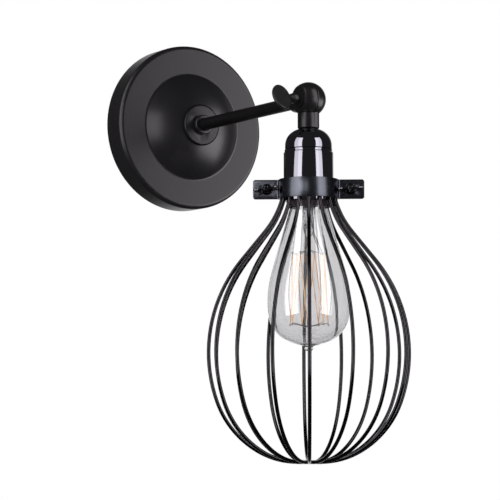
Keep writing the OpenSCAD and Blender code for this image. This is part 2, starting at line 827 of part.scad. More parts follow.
module bulb_glass() {
    color("#dfe6e4", 0.35) at_ball() rotate_extrude() difference() {
        union() {
            glass_outline(0);
            intersection() {
                translate([0, -(bulb_bottom + 0.7)]) circle(r = pip_r);
                translate([0, -(bulb_bottom + 2 * pip_r)]) square([2 * pip_r, 4 * pip_r]);
            }
        }
        glass_outline(glass_t);
    }
}

module bulb_cap() {
    color("#c9b27a") at_ball() mirror([0, 0, 1]) translate([0, 0, base_top + 3]) difference() {
        union() {
            cylinder(r1 = base_r - 2, r2 = base_r, h = 2);
            translate([0, 0, 2]) cylinder(r = base_r, h = base_end - base_top - 5);
        }
        translate([0, 0, 0.5]) cylinder(r = base_r - 2.5, h = base_end);
        translate([0, 0, -1]) cylinder(r = base_r - 5, h = 3);
    }
}

module bulb_insulator() {
    color("#141012") at_ball() mirror([0, 0, 1]) translate([0, 0, base_top + 1]) difference() {
        cylinder(r1 = 5.6, r2 = base_r - 3, h = 2);
        translate([0, 0, -1]) cylinder(r = 3, h = 4);
    }
}

module bulb_contact() {
    color("#c7c3b4") at_ball() mirror([0, 0, 1]) translate([0, 0, base_top]) {
        cylinder(r = 4.4, h = 0.95);
        cylinder(r = 2.6, h = 3);
    }
}

// The flared glass stem and the rod that carries the filament's lower hooks
module glass_stem() {
    color("#dfe6e4", 0.5) at_ball() mirror([0, 0, 1]) {
        translate([0, 0, glass_start + 0.4]) cylinder(r1 = stem_flare_r, r2 = stem_r, h = 9);
        translate([0, 0, glass_start + 9.4]) cylinder(r = stem_r, h = stem_end - glass_start - 15.4);
        translate([0, 0, stem_end - 6]) cylinder(r1 = stem_r, r2 = stem_tip_r, h = 6);
        translate([0, 0, stem_end]) cylinder(r = rod_r, h = rod_end - stem_end);
        for (z = [stem_end + 6, rod_end]) translate([0, 0, z]) sphere(r = button_r);
    }
}

function hook(r, z, k) = [r * cos(k * 360 / hairpins), r * sin(k * 360 / hairpins), -z];

// A filament of slanting legs between upper and lower hooks, open at one place for its two ends
module filament() {
    color("#ff9c3a") at_ball() for (k = [0:hairpins - 1]) {
        top = hook(filament_top_r, filament_top, k);
        low = hook(filament_end_r, filament_end, k + 0.5);
        next = hook(filament_top_r, filament_top, k + 1);
        bar(top, low, filament_r);
        translate(low) sphere(r = bead_r);
        if (k < hairpins - 1) {
            bar(low, next, filament_r);
            translate(next) sphere(r = bead_r);
        }
    }
}

// Wires from the stem to the filament's upper hooks and from the rod's end to its lower hooks
module filament_supports() {
    inset = bead_r + support_gap;
    color("#8f8a80") at_ball() for (k = [0:hairpins - 1]) {
        bar(hook(button_r, stem_end + 6, k), hook(filament_top_r - inset, filament_top, k), support_r);
        bar(hook(button_r, rod_end, k + 0.5), hook(filament_end_r - inset, filament_end, k + 0.5), support_r);
    }
}

canopy();
wall_crossbar();
lock_washer();
crossbar_nut();
ground_screw();
canopy_washer();
ring_nut();
arm_tube();
supply_leads();
arm_knuckle();
spot_washer();
friction_washer();
thumb_screw();
head_knuckle();
neck_nipple();
cap_nut();
holder_cap();
holder_shell();
socket_insert();
screw_shell();
centre_contact();
terminal_screws();
holder_leads();
collar_front();
collar_back();
clamp_screws();
clamp_washers();
wing_nut_left();
wing_nut_right();
cage_hub();
bulb_glass();
bulb_cap();
bulb_insulator();
bulb_contact();
glass_stem();
filament();
filament_supports();
for (i = wire_numbers) cage_wire(i);
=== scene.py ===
"""Looks of a cage wall light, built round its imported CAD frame.

Lengths are in metres. The wall is the plane y = 0, the light stands out from it
towards -Y, and +Z is up.
"""

from __future__ import annotations

import logging
import math
from collections.abc import Callable, Iterable
from dataclasses import dataclass, field, replace
from enum import Enum

import bmesh
import bpy
from mathutils import Matrix, Vector

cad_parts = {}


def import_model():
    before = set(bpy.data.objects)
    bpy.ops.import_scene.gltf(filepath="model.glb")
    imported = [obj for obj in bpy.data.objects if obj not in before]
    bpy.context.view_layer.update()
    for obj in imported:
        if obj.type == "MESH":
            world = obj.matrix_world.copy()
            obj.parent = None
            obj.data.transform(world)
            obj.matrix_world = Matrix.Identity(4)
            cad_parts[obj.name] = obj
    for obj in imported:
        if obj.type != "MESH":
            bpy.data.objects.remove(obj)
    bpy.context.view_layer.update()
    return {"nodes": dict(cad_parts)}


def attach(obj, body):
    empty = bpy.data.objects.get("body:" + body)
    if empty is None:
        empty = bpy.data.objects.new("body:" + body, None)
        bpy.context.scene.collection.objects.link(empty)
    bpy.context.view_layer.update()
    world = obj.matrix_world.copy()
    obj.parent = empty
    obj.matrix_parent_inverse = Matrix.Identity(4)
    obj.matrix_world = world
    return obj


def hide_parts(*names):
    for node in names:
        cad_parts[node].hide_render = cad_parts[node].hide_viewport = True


log = logging.getLogger("cage_light")

Colour = tuple[float, float, float]
Piece = bpy.types.Object
Socket = bpy.types.NodeSocket
RAMP_STOPS = (0.35, 0.65)


# ---------------------------------------------------------------- shader helpers
def settle(node: bpy.types.Node, **values: object) -> None:
    """Sets a node's inputs or properties by name.

    Args:
        node: The node.
        **values: Socket values, with underscores for spaces, or node properties in
            lower case.
    """
    for name, value in values.items():
        if name[0].isupper():
            node.inputs[name.replace("_", " ")].default_value = value
        else:
            setattr(node, name, value)


class Wiring:
    """Adds nodes to one node tree and joins them."""

    def __init__(self, tree: bpy.types.NodeTree) -> None:
        """Keeps the tree that is filled."""
        self.tree = tree

    def add(self, kind: str, **values: object) -> bpy.types.Node:
        """Adds a node and settles its values.

        Args:
            kind: The node type's id.
            **values: Its socket values and properties.

        Returns:
            The new node.
        """
        node = self.tree.nodes.new(kind)
        settle(node, **values)
        return node

    def join(self, out: Socket, into: Socket) -> None:
        """Links an output to an input."""
        self.tree.links.new(out, into)

    def feed(self, socket: Socket, value: object) -> None:
        """Links an output to an input, or sets a plain value on it.

        Args:
            socket: The input.
            value: The output, or the plain value.
        """
        if isinstance(value, Socket):
            self.join(value, socket)
        else:
            socket.default_value = value

    def maths(self, operation: str, one: object, two: object = 0.0) -> Socket:
        """Adds a maths node on sockets or numbers.

        Args:
            operation: The Math node's operation.
            one: The first socket or number.
            two: The second socket or number.

        Returns:
            The result's socket.
        """
        node = self.add("ShaderNodeMath", operation=operation)
        for socket, value in zip(node.inputs, (one, two)):
            self.feed(socket, value)
        return node.outputs[0]

    def place(self) -> Socket:
        """Returns the piece's own coordinates."""
        return self.add("ShaderNodeTexCoord").outputs["Object"]

    def squeezed(self, place: Socket, scale: tuple[float, float, float]) -> Socket:
        """Multiplies coordinates by a scale in each direction.

        Args:
            place: The coordinates.
            scale: The scale in x, y and z.

        Returns:
            The new coordinates.
        """
        squeeze = self.add("ShaderNodeVectorMath", operation="MULTIPLY")
        squeeze.inputs[1].default_value = scale
        self.join(place, squeeze.inputs[0])
        return squeeze.outputs[0]

    def noise(self, place: Socket, scale: object, detail: float = 2.0) -> Socket:
        """Adds a noise texture.

        Args:
            place: The coordinates it reads.
            scale: Its scale, as a socket or a number.
            detail: Its detail.

        Returns:
            The noise's value, about 0.5 in the middle.
        """
        node = self.add("ShaderNodeTexNoise", Detail=detail)
        self.join(place, node.inputs["Vector"])
        self.feed(node.inputs["Scale"], scale)
        return node.outputs["Fac"]

    def wander(self, middle: Socket, noise: Socket, spread: Socket) -> Socket:
        """Lets a value wander about its middle by a spread."""
        change = self.maths("MULTIPLY", self.maths("SUBTRACT", noise, 0.5), spread)
        return self.maths("ADD", middle, change)

    def blend(self, value: Socket, low: Colour, high: Colour) -> Socket:
        """Blends two colours over the middle of a value's range.

        Args:
            value: The value.
            low: The colour where it is low.
            high: The colour where it is high.

        Returns:
            The colour's socket.
        """
        ramp = self.add("ShaderNodeValToRGB")
        for stop, position, colour in zip(ramp.color_ramp.elements, RAMP_STOPS, (low, high)):
            stop.position = position
            stop.color = (*colour, 1.0)
        self.join(value, ramp.inputs["Fac"])
        return ramp.outputs["Color"]

    def bump(self, height: Socket, strength: float, distance: float) -> Socket:
        """Turns a height into a normal.

        Args:
            height: The height.
            strength: How much of it is used.
            distance: The height in metres that a value of one stands for.

        Returns:
            The normal's socket.
        """
        bump = self.add("ShaderNodeBump", Strength=strength, Distance=distance)
        self.join(height, bump.inputs["Height"])
        return bump.outputs["Normal"]


class Group(Enum):
    """The effects that several materials share."""

    COAT = "coat_skin"
    TURNED = "turned_metal"


def new_group(name: str, inputs: dict[str, float], outputs: list[str]) -> tuple[Wiring, dict, dict]:
    """Starts a shader node group.

    Args:
        name: The group's name.
        inputs: Each input and its default.
        outputs: The names of its outputs, all plain values.

    Returns:
        Its wiring, its input sockets by name, and its output sockets by name.
    """
    tree = bpy.data.node_groups.new(name, "ShaderNodeTree")
    for label, value in inputs.items():
        socket = tree.interface.new_socket(label, in_out="INPUT", socket_type="NodeSocketFloat")
        socket.default_value = value
    for label in outputs:
        tree.interface.new_socket(label, in_out="OUTPUT", socket_type="NodeSocketFloat")
    wiring = Wiring(tree)
    given = wiring.add("NodeGroupInput")
    made = wiring.add("NodeGroupOutput")
    return (
        wiring,
        {label: given.outputs[label] for label in inputs},
        {label: made.inputs[label] for label in outputs},
    )


def build_coat_group() -> None:
    """Builds the skin of a sprayed or stoved coat: fine orange peel over slow unevenness."""
    wiring, given, made = new_group(
        Group.COAT.value,
        {"Scale": 900.0, "Roughness": 0.4, "Spread": 0.08},
        ["Shade", "Roughness", "Height"],
    )
    place = wiring.place()
    slow = wiring.noise(place, 28.0, 3.0)
    specks = wiring.noise(place, 2600.0, 1.0)
    peel = wiring.noise(place, given["Scale"], 2.0)
    shade = wiring.maths("ADD", wiring.maths("MULTIPLY", slow, 0.7), wiring.maths("MULTIPLY", specks, 0.3))
    wiring.join(shade, made["Shade"])
    wiring.join(wiring.wander(given["Roughness"], slow, given["Spread"]), made["Roughness"])
    wiring.join(wiring.maths("ADD", peel, wiring.maths("MULTIPLY", specks, 0.25)), made["Height"])


def build_turned_group() -> None:
    """Builds the fine lines that turning, drawing or rolling leaves on bare metal."""
    wiring, given, made = new_group(
        Group.TURNED.value,
        {"Scale": 2400.0, "Roughness": 0.3, "Spread": 0.15},
        ["Shade", "Roughness", "Height"],
    )
    place = wiring.place()
    lines = wiring.noise(wiring.squeezed(place, (0.04, 0.04, 1.0)), given["Scale"], 2.0)
    cloud = wiring.noise(place, 120.0, 3.0)
    wiring.join(wiring.maths("MULTIPLY", wiring.maths("ADD", lines, cloud), 0.5), made["Shade"])
    wiring.join(wiring.wander(given["Roughness"], cloud, given["Spread"]), made["Roughness"])
    wiring.join(lines, made["Height"])


def new_material(name: str) -> tuple[bpy.types.Material, Wiring, bpy.types.Node]:
    """Starts a node material.

    Args:
        name: The material's name.

    Returns:
        The material, its wiring and its shader.
    """
    material = bpy.data.materials.new(name)
    material.use_nodes = True
    return material, Wiring(material.node_tree), material.node_tree.nodes["Principled BSDF"]


@dataclass(frozen=True)
class Finish:
    """One opaque finish, with a low and a high colour that the surface wanders between."""

    name: str
    low: Colour
    high: Colour
    roughness: float
    spread: float = 0.08
    grain: float = 900.0
    bump: float = 0.05
    depth: float = 0.0001
    metallic: float = 0.0
    ior: float = 1.5
    specular: float = 0.5
    gloss_tint: Colour = (1.0, 1.0, 1.0)
    group: Group = Group.COAT

    def material(self) -> bpy.types.Material:
        """Builds the finish as a node material.

        Returns:
            The material.
        """
        material, wiring, shader = new_material(self.name)
        skin = wiring.add("ShaderNodeGroup", node_tree=bpy.data.node_groups[self.group.value],
                          Scale=self.grain, Roughness=self.roughness, Spread=self.spread)
        wiring.join(wiring.blend(skin.outputs["Shade"], self.low, self.high), shader.inputs["Base Color"])
        wiring.join(skin.outputs["Roughness"], shader.inputs["Roughness"])
        wiring.join(wiring.bump(skin.outputs["Height"], self.bump, self.depth), shader.inputs["Normal"])
        settle(shader, Metallic=self.metallic, IOR=self.ior, Specular_IOR_Level=self.specular,
               Specular_Tint=(*self.gloss_tint, 1.0))
        return material


@dataclass(frozen=True)
class Glass:
    """Clear blown glass with a faint tint and faint ripples, drawn out along its height."""

    name: str
    tint: Colour
    ior: float = 1.5
    ripple: float = 0.035
    ripple_scale: float = 130.0
    ripple_depth: float = 0.001
    draw_out: float = 0.12

    def material(self) -> bpy.types.Material:
        """Builds the glass as a node material.

        Returns:
            The material.
        """
        material, wiring, shader = new_material(self.name)
        settle(shader, Base_Color=(*self.tint, 1.0), Roughness=0.0, IOR=self.ior, Transmission_Weight=1.0)
        drawn = wiring.squeezed(wiring.place(), (1.0, 1.0, self.draw_out))
        ripples = wiring.noise(drawn, self.ripple_scale, 1.0)
        wiring.join(wiring.bump(ripples, self.ripple, self.ripple_depth), shader.inputs["Normal"])
        return material


@dataclass(frozen=True)
class Glow:
    """A wire that glows, paler where it is hotter."""

    name: str
    cool: Colour
    hot: Colour
    strength: float
    patch_scale: float = 90.0

    def material(self) -> bpy.types.Material:
        """Builds the glow as a node material.

        Returns:
            The material.
        """
        material, wiring, shader = new_material(self.name)
        heat = wiring.noise(wiring.place(), self.patch_scale, 2.0)
        wiring.join(wiring.blend(heat, self.cool, self.hot), shader.inputs["Emission Color"])
        settle(shader, Base_Color=(*self.cool, 1.0), Emission_Strength=self.strength, Roughness=0.6)
        return material


Look = Finish | Glass | Glow
WARM_GLOSS = (1.0, 0.95, 1.0)
WHITE = (1.0, 1.0, 1.0, 1.0)
PLATE_BLACK = Finish("plate_black", (0.008, 0.0075, 0.0085), (0.012, 0.011, 0.0125), 0.31, spread=0.06,
                     bump=0.08, gloss_tint=WARM_GLOSS)
WASHER_BLACK = replace(PLATE_BLACK, name="washer_black", specular=0.42)
# Painted shade: an almost black, unshiny finish for the ring that stands in for the shadow in the gap round
# the washer.
GAP_SHADE_BLACK = Finish("seal_black", (0.003, 0.003, 0.003), (0.006, 0.006, 0.006), 0.7, specular=0.1)
ARM_BLACK = Finish("arm_black", (0.006, 0.0055, 0.006), (0.009, 0.0085, 0.009), 0.40, specular=0.14,
                   gloss_tint=WARM_GLOSS)
SWIVEL_BLACK = Finish("swivel_black", (0.005, 0.0048, 0.005), (0.009, 0.0085, 0.009), 0.31, bump=0.10,
                      gloss_tint=WARM_GLOSS)
HOLDER_BLACK = Finish("holder_black", (0.25, 0.24, 0.28), (0.28, 0.27, 0.31), 0.055, spread=0.03,
                      grain=300.0, bump=0.02, metallic=1.0)
STRAP_GREY = Finish("strap_grey", (0.085, 0.088, 0.106), (0.112, 0.117, 0.138), 0.25, metallic=1.0)
FIXING_BLACK = Finish("fixing_black", (0.095, 0.092, 0.10), (0.14, 0.137, 0.145), 0.12, metallic=1.0)
WIRE_BLACK = Finish("wire_black", (0.040, 0.037, 0.042), (0.066, 0.062, 0.069), 0.10,
                    grain=240.0, metallic=1.0, bump=0.02)
MOUTH_BROWN = Finish("mouth_brown", (0.030, 0.021, 0.026), (0.068, 0.047, 0.054), 0.35)
ZINC = Finish("zinc_plate", (0.42, 0.43, 0.42), (0.62, 0.62, 0.60), 0.32, spread=0.2, grain=2400.0,
              metallic=1.0, group=Group.TURNED)
GROUND_GREEN = Finish("ground_green", (0.02, 0.12, 0.03), (0.04, 0.18, 0.05), 0.3, metallic=0.6)
BRASS = replace(ZINC, name="plain_brass", low=(0.62, 0.44, 0.18), high=(0.80, 0.60, 0.28), roughness=0.28)
LEAD_WHITE = Finish("lead_white", (0.62, 0.60, 0.56), (0.72, 0.70, 0.66), 0.5)
FIBRE = Finish("pressed_fibre", (0.14, 0.11, 0.08), (0.24, 0.20, 0.15), 0.8, grain=1800.0, bump=0.4)
VITREOUS = Finish("vitreous_black", (0.012, 0.010, 0.014), (0.02, 0.018, 0.022), 0.18)
SOLDER = Finish("dull_solder", (0.40, 0.39, 0.36), (0.55, 0.54, 0.50), 0.45, metallic=1.0, bump=0.4)
SUPPORT_WIRE = Finish("support_wire", (0.05, 0.048, 0.05), (0.12, 0.115, 0.12), 0.3, metallic=1.0)
CLEAR_GLASS = Glass("clear_glass", (0.83, 0.825, 0.835), ior=1.8)
STEM_GLASS = Glass("stem_glass", (0.80, 0.80, 0.82), ripple=0.15, ripple_scale=160.0)
FILAMENT_GLOW = Glow("filament_glow", (0.38, 0.19, 0.085), (0.80, 0.54, 0.33), 0.9)
FLOOR_PALE = Finish("floor_pale", (0.78, 0.78, 0.78), (0.82, 0.82, 0.82), 0.7, grain=60.0, bump=0.02)


# ---------------------------------------------------------------- the bench
MM = 0.001
HEAD = Vector((0.0, -197.0, 0.0))
CLAMP_TURN = math.radians(-35.5)
ORIGIN = Vector((0.0, 0.0, 0.0))
RIGHT = Vector((1.0, 0.0, 0.0))
OUT = Vector((0.0, -1.0, 0.0))
UP = Vector((0.0, 0.0, 1.0))


@dataclass(frozen=True)
class Axis:
    """A line that a piece is turned about, in millimetres."""

    origin: Vector
    along: Vector
    side: Vector

    def at(self, radius: float, height: float, across: float = 0.0) -> Vector:
        """Returns the point at a height along the line, a radius to its side and a way across."""
        aside = self.side * radius + self.along.cross(self.side) * across
        return self.origin + self.along * height + aside


ARM_AXIS = Axis(ORIGIN, OUT, RIGHT)
HEAD_AXIS = Axis(HEAD, UP, RIGHT)
PIVOT_AXIS = Axis(HEAD, -RIGHT, UP)
CLAMP_OUT = Vector((math.sin(CLAMP_TURN), -math.cos(CLAMP_TURN), 0.0))
CLAMP_SIDE = Vector((math.cos(CLAMP_TURN), math.sin(CLAMP_TURN), 0.0))


def deselect() -> None:
    """Leaves nothing selected, so an operator acts on new pieces only."""
    bpy.ops.object.select_all(action="DESELECT")


def hold(*pieces: Piece) -> None:
    """Selects the pieces alone and makes the first one active.

    Args:
        *pieces: The pieces.
    """
    deselect()
    for piece in pieces:
        piece.select_set(True)
    bpy.context.view_layer.objects.active = pieces[0]


def close_up(gap: float = 1e-6, cap: bool = True) -> None:
    """Merges doubles in edit mode, closes open ends and points all faces outwards.

    Args:
        gap: The distance in metres within which points are merged.
        cap: Whether the open ends are closed.
    """
    bpy.ops.mesh.select_all(action="SELECT")
    bpy.ops.mesh.remove_doubles(threshold=gap)
    if cap:
        bpy.ops.mesh.fill_holes(sides=0)
    bpy.ops.mesh.normals_make_consistent(inside=False)


def set_down(smooth: float) -> Piece:
    """Leaves edit mode and shades the piece smooth up to an angle in degrees.

    Args:
        smooth: The angle.

    Returns:
        The piece.
    """
    bpy.ops.object.mode_set(mode="OBJECT")
    bpy.ops.object.shade_smooth_by_angle(angle=math.radians(smooth))
    return bpy.context.object


class Bench:
    """One new piece on the bench, shaped in edit mode with the modelling tools."""

    def __init__(self, name: str) -> None:
        """Starts from a small plane that is merged to one point at the origin.

        Args:
            name: The piece's name.
        """
        deselect()
        bpy.ops.mesh.primitive_plane_add(size=MM)
        self.piece = bpy.context.object
        self.piece.name = self.piece.data.name = name
        bpy.ops.object.mode_set(mode="EDIT")
        bpy.ops.mesh.merge(type="CENTER")

    def draw(self, points: list[Vector]) -> "Bench":
        """Moves the point to the first place and draws a line on through the others.

        Args:
            points: The places in millimetres.

        Returns:
            The bench.
        """
        bpy.ops.transform.translate(value=points[0] * MM)
        for here, there in zip(points, points[1:]):
            bpy.ops.mesh.extrude_region_move(TRANSFORM_OT_translate={"value": (there - here) * MM})
        return self

    def spin(self, axis: Axis, steps: int) -> "Bench":
        """Turns the drawn line once round an axis and closes the seam.

        Args:
            axis: The axis.
            steps: The number of faces round it.

        Returns:
            The bench.
        """
        bpy.ops.mesh.select_all(action="SELECT")
        bpy.ops.mesh.spin(steps=steps, angle=math.tau, center=axis.origin * MM, axis=axis.along)
        return self.tidy()

    def fill(self, depth: Vector) -> "Bench":
        """Fills the drawn outline with a face and extrudes it.

        Args:
            depth: The way and length of the extrusion in millimetres.

        Returns:
            The bench.
        """
        bpy.ops.mesh.select_all(action="SELECT")
        bpy.ops.mesh.edge_face_add()
        bpy.ops.mesh.extrude_region_move(TRANSFORM_OT_translate={"value": depth * MM})
        return self.tidy()

    def tidy(self) -> "Bench":
        """Closes the piece up."""
        close_up()
        return self

    def pick(self, test: Callable[[Vector], bool]) -> "Bench":
        """Selects the points whose place, in millimetres, passes a test.

        Args:
            test: The test.

        Returns:
            The bench.
        """
        bpy.ops.mesh.select_mode(type="VERT")
        bpy.ops.mesh.select_all(action="DESELECT")
        mesh = bmesh.from_edit_mesh(self.piece.data)
        for vert in mesh.verts:
            vert.select_set(test(vert.co / MM))
        bmesh.update_edit_mesh(self.piece.data)
        return self

    def resize(self, scale: tuple[float, float, float], centre: Vector) -> "Bench":
        """Scales what is selected about a place."""
        bpy.ops.transform.resize(value=scale, center_override=centre * MM)
        return self

    def done(self, smooth: float = 35.0) -> Piece:
        """Finishes the piece, smooth up to an angle in degrees."""
        return set_down(smooth)


def apply(piece: Piece, kind: str, **values: object) -> None:
    """Adds a modifier to a piece and applies it.

    Args:
        piece: The piece.
        kind: The modifier's type.
        **values: The modifier's settings.
    """
    hold(piece)
    modifier = piece.modifiers.new(kind, kind)
    for name, value in values.items():
        setattr(modifier, name, value)
    bpy.ops.object.modifier_apply(modifier=modifier.name)


def ease(piece: Piece, width: float, segments: int = 2, angle: float = 40.0) -> Piece:
    """Rounds a piece's sharp edges.

    Args:
        piece: The piece.
        width: The rounding in millimetres.
        segments: The number of faces across each rounding.
        angle: The sharpest angle, in degrees, that is left alone.

    Returns:
        The same piece.
    """
    apply(piece, "BEVEL", width=width * MM, segments=segments, limit_method="ANGLE",
          angle_limit=math.radians(angle))
    bpy.ops.object.shade_smooth_by_angle(angle=math.radians(angle))
    return piece


def turned(name: str, axis: Axis, outline: Iterable[tuple[float, float]], steps: int = 64) -> Piece:
    """Turns an outline of radius and height, in millimetres, once round an axis."""
    return Bench(name).draw([axis.at(r, h) for r, h in outline]).spin(axis, steps).done()


def plate(name: str, outline: list[Vector], depth: Vector, round_edge: float) -> Piece:
    """Cuts a plate to a closed outline and rounds its edges, all in millimetres."""
    piece = Bench(name).draw(outline).fill(depth).done()
    return ease(piece, round_edge, segments=3, angle=50.0)


def wire(name: str, points: list[Vector], radius: float, smooth: int = 2) -> Piece:
    """Draws a round wire along points.

    Args:
        name: The piece's name.
        points: The places along its middle, in millimetres.
        radius: Its radius.
        smooth: How finely its round section is divided.

    Returns:
        The piece.
    """
    Bench(name).draw(points)
    bpy.ops.object.mode_set(mode="OBJECT")
    bpy.ops.object.convert(target="CURVE")
    curve = bpy.context.object
    curve.data.bevel_depth = radius * MM
    curve.data.bevel_resolution = smooth
    curve.data.use_fill_caps = True
    bpy.ops.object.convert(target="MESH")
    bpy.ops.object.mode_set(mode="EDIT")
    close_up(1e-7, cap=False)
    piece = set_down(60.0)
    piece.name = piece.data.name = name
    return piece


def bent(points: list[Vector], radius: float, steps: int = 4) -> list[Vector]:
    """Rounds the corners of a line.

    Args:
        points: The line's corners.
        radius: How far from each corner its bend starts.
        steps: The number of pieces in each bend.

    Returns:
        The points of the rounded line.
    """
    out = [points[0]]
    for before, corner, after in zip(points, points[1:], points[2:]):
        start = corner + (before - corner).normalized() * min(radius, (before - corner).length / 2)
        end = corner + (after - corner).normalized() * min(radius, (after - corner).length / 2)
        for step in range(steps + 1):
            t = step / steps
            out.append(start * (1 - t) ** 2 + corner * 2 * t * (1 - t) + end * t**2)
    return out + [points[-1]]


def copied(piece: Piece, name: str, move: Matrix) -> Piece:
    """Copies a piece with its own mesh and lays it down in a new place.

    Args:
        piece: The piece.
        name: The copy's name.
        move: Where it goes, as a move of the whole scene in metres.

    Returns:
        The copy.
    """
    hold(piece)
    bpy.ops.object.duplicate()
    copy = bpy.context.object
    copy.name = copy.data.name = name
    copy.matrix_world = move
    bpy.ops.object.transform_apply(location=True, rotation=True, scale=True)
    return copy


def stood(foot: Vector, x: Vector, y: Vector, z: Vector) -> Matrix:
    """Returns the move that lays a piece's own axes along x, y and z from a foot."""
    return Matrix.Translation(foot * MM) @ Matrix((x, y, z)).transposed().to_4x4()


def about(axis: Axis, angle: float) -> Matrix:
    """Returns a turn about an axis by an angle in radians, as a move in metres."""
    there = Matrix.Translation(axis.origin * MM)
    return there @ Matrix.Rotation(angle, 4, axis.along) @ there.inverted()


def joined(name: str, pieces: list[Piece]) -> Piece:
    """Joins pieces into one.

    Args:
        name: The new piece's name.
        pieces: The pieces.

    Returns:
        The joined piece.
    """
    hold(*pieces)
    bpy.ops.object.join()
    pieces[0].name = pieces[0].data.name = name
    return pieces[0]


# ---------------------------------------------------------------- flat paths
@dataclass(frozen=True)
class Place:
    """A point on a flat path, and the heading there in degrees."""

    x: float
    y: float
    heading: float


@dataclass(frozen=True)
class Move:
    """An arc of a radius and a turn to the left, or a straight run where the turn is zero."""

    size: float
    turn: float = 0.0

    def centre(self, start: Place) -> tuple[float, float]:
        """Returns the arc's centre."""
        swing, angle = math.copysign(self.size, self.turn), math.radians(start.heading)
        return start.x - swing * math.sin(angle), start.y + swing * math.cos(angle)

    def end(self, start: Place, share: float = 1.0) -> Place:
        """Returns the place after a share of the move.

        Args:
            start: The place where the move starts.
            share: The share, up to one.

        Returns:
            The place.
        """
        if not self.turn:
            angle, run = math.radians(start.heading), self.size * share
            return Place(start.x + run * math.cos(angle), start.y + run * math.sin(angle), start.heading)
        x, y = self.centre(start)
        heading = start.heading + self.turn * share
        swing, angle = math.copysign(self.size, self.turn), math.radians(heading)
        return Place(x + swing * math.sin(angle), y - swing * math.cos(angle), heading)

    def beside(self, gap: float) -> "Move":
        """Returns the same move on a line shifted to the left."""
        return Move(self.size - math.copysign(gap, self.turn), self.turn) if self.turn else self


def solved(a: float, b: float, c: float, d: float, e: float, f: float) -> tuple[float, float]:
    """Solves a x + b y = e and c x + d y = f."""
    whole = a * d - b * c
    return (e * d - b * f) / whole, (a * f - e * c) / whole


@dataclass(frozen=True)
class Pear:
    """A pear outline from the middle of its bottom up to its mouth, where it ends upright.

    Heights count from the belly. Flare, kick, hip and heel are angles from upright.
    """

    mouth_r: float
    mouth_h: float
    belly_r: float
    foot_r: float
    foot_h: float
    flare: float
    neck_r: float
    hip: float
    heel: float
    kick: float = 0.0
    kick_r: float = 0.0

    def moves(self) -> list[Move]:
        """Works out the belly, the flank, the hip and the bottom from the other sizes.

        Returns:
            The outline's arcs and its straight flank.
        """
        flare, kick = math.radians(self.flare), math.radians(self.kick)
        hip, heel = math.radians(self.hip), math.radians(self.heel)
        belly, flank = solved(
            1 - math.cos(flare), math.sin(flare), math.sin(flare), math.cos(flare),
            self.belly_r - self.mouth_r - self.neck_r * (math.cos(kick) - math.cos(flare))
            - self.kick_r * (1 - math.cos(kick)),
            self.mouth_h - self.neck_r * (math.sin(flare) - math.sin(kick)) - self.kick_r * math.sin(kick),
        )
        hip_r, bottom = solved(
            math.cos(hip) - math.cos(heel), math.cos(heel),
            math.sin(heel) - math.sin(hip), 1 - math.sin(heel),
            self.belly_r - self.foot_r - belly * (1 - math.cos(hip)),
            self.foot_h - belly * math.sin(hip),
        )
        moves = [Move(bottom, 90 - self.heel), Move(hip_r, self.heel - self.hip),
                 Move(belly, self.hip + self.flare), Move(flank), Move(self.neck_r, self.kick - self.flare)]
        return moves + ([Move(self.kick_r, -self.kick)] if self.kick else [])


def outline_of(start: Place, moves: list[Move], step: float = 3.0) -> list[tuple[float, float]]:
    """Returns the points along a path, with one every few degrees of each arc.

    Args:
        start: The path's start.
        moves: Its moves.
        step: The most degrees between two points of an arc.

    Returns:
        The points.
    """
    points, place = [(start.x, start.y)], start
    for move in moves:
        count = max(1, math.ceil(abs(move.turn) / step)) if move.turn else 6
        for part in range(1, count + 1):
            stop = move.end(place, part / count)
            points.append((stop.x, stop.y))
        place = move.end(place)
    return points


# ---------------------------------------------------------------- sub-assemblies
class Palette:
    """Builds each finish once, on first use."""

    def __init__(self) -> None:
        """Builds the shared node groups."""
        self._made: dict[str, bpy.types.Material] = {}
        build_coat_group()
        build_turned_group()

    def of(self, finish: Look) -> bpy.types.Material:
        """Returns the finish's material.

        Args:
            finish: The finish.

        Returns:
            The material, built on the first call.
        """
        if finish.name not in self._made:
            self._made[finish.name] = finish.material()
        return self._made[finish.name]


@dataclass
class SubAssembly:
    """A group of pieces that are built and dressed together."""

    nodes: dict[str, Piece]
    palette: Palette

    def dress(self, finish: Look, *names: str) -> None:
        """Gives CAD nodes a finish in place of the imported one.

        Args:
            finish: The finish.
            *names: The nodes.
        """
        for name in names:
            for slot in self.nodes[name].material_slots:
                slot.material = self.palette.of(finish)
            log.info("%s wears %s", name, finish.name)

    def fit(self, piece: Piece, finish: Look, body: str, slot: str, *nodes: str) -> None:
        """Dresses a new piece and sets it on its body in place of CAD nodes.

        Args:
            piece: The piece.
            finish: Its finish.
            body: The body that carries it.
            slot: Not used.
            *nodes: The nodes that it replaces.
        """
        piece.data.materials.clear()
        piece.data.materials.append(self.palette.of(finish))
        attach(piece, body)
        if nodes:
            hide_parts(*nodes)
        log.info("%s stands for %s in %s", piece.name, ", ".join(nodes) or "itself", finish.name)

    def eased(self, node: str, finish: Finish, body: str, slot: str, width: float) -> None:
        """Puts a copy of a node with softened edges in its place.

        Args:
            node: The node.
            finish: The copy's finish.
            body: The body that carries it.
            slot: A material slot's name, handed on to fit.
            width: The rounding of its edges.
        """
        mesh = self.nodes[node].data.copy()
        mesh.name = f"{node}_eased"
        piece = bpy.data.objects.new(mesh.name, mesh)
        bpy.context.scene.collection.objects.link(piece)
        hold(piece)
        bpy.ops.object.mode_set(mode="EDIT")
        bpy.ops.mesh.select_all(action="SELECT")
        bpy.ops.mesh.remove_doubles(threshold=1e-6)
        bpy.ops.mesh.dissolve_limited(angle_limit=math.radians(0.5))
        bpy.ops.object.mode_set(mode="OBJECT")
        self.fit(ease(piece, width), finish, body, slot, node)


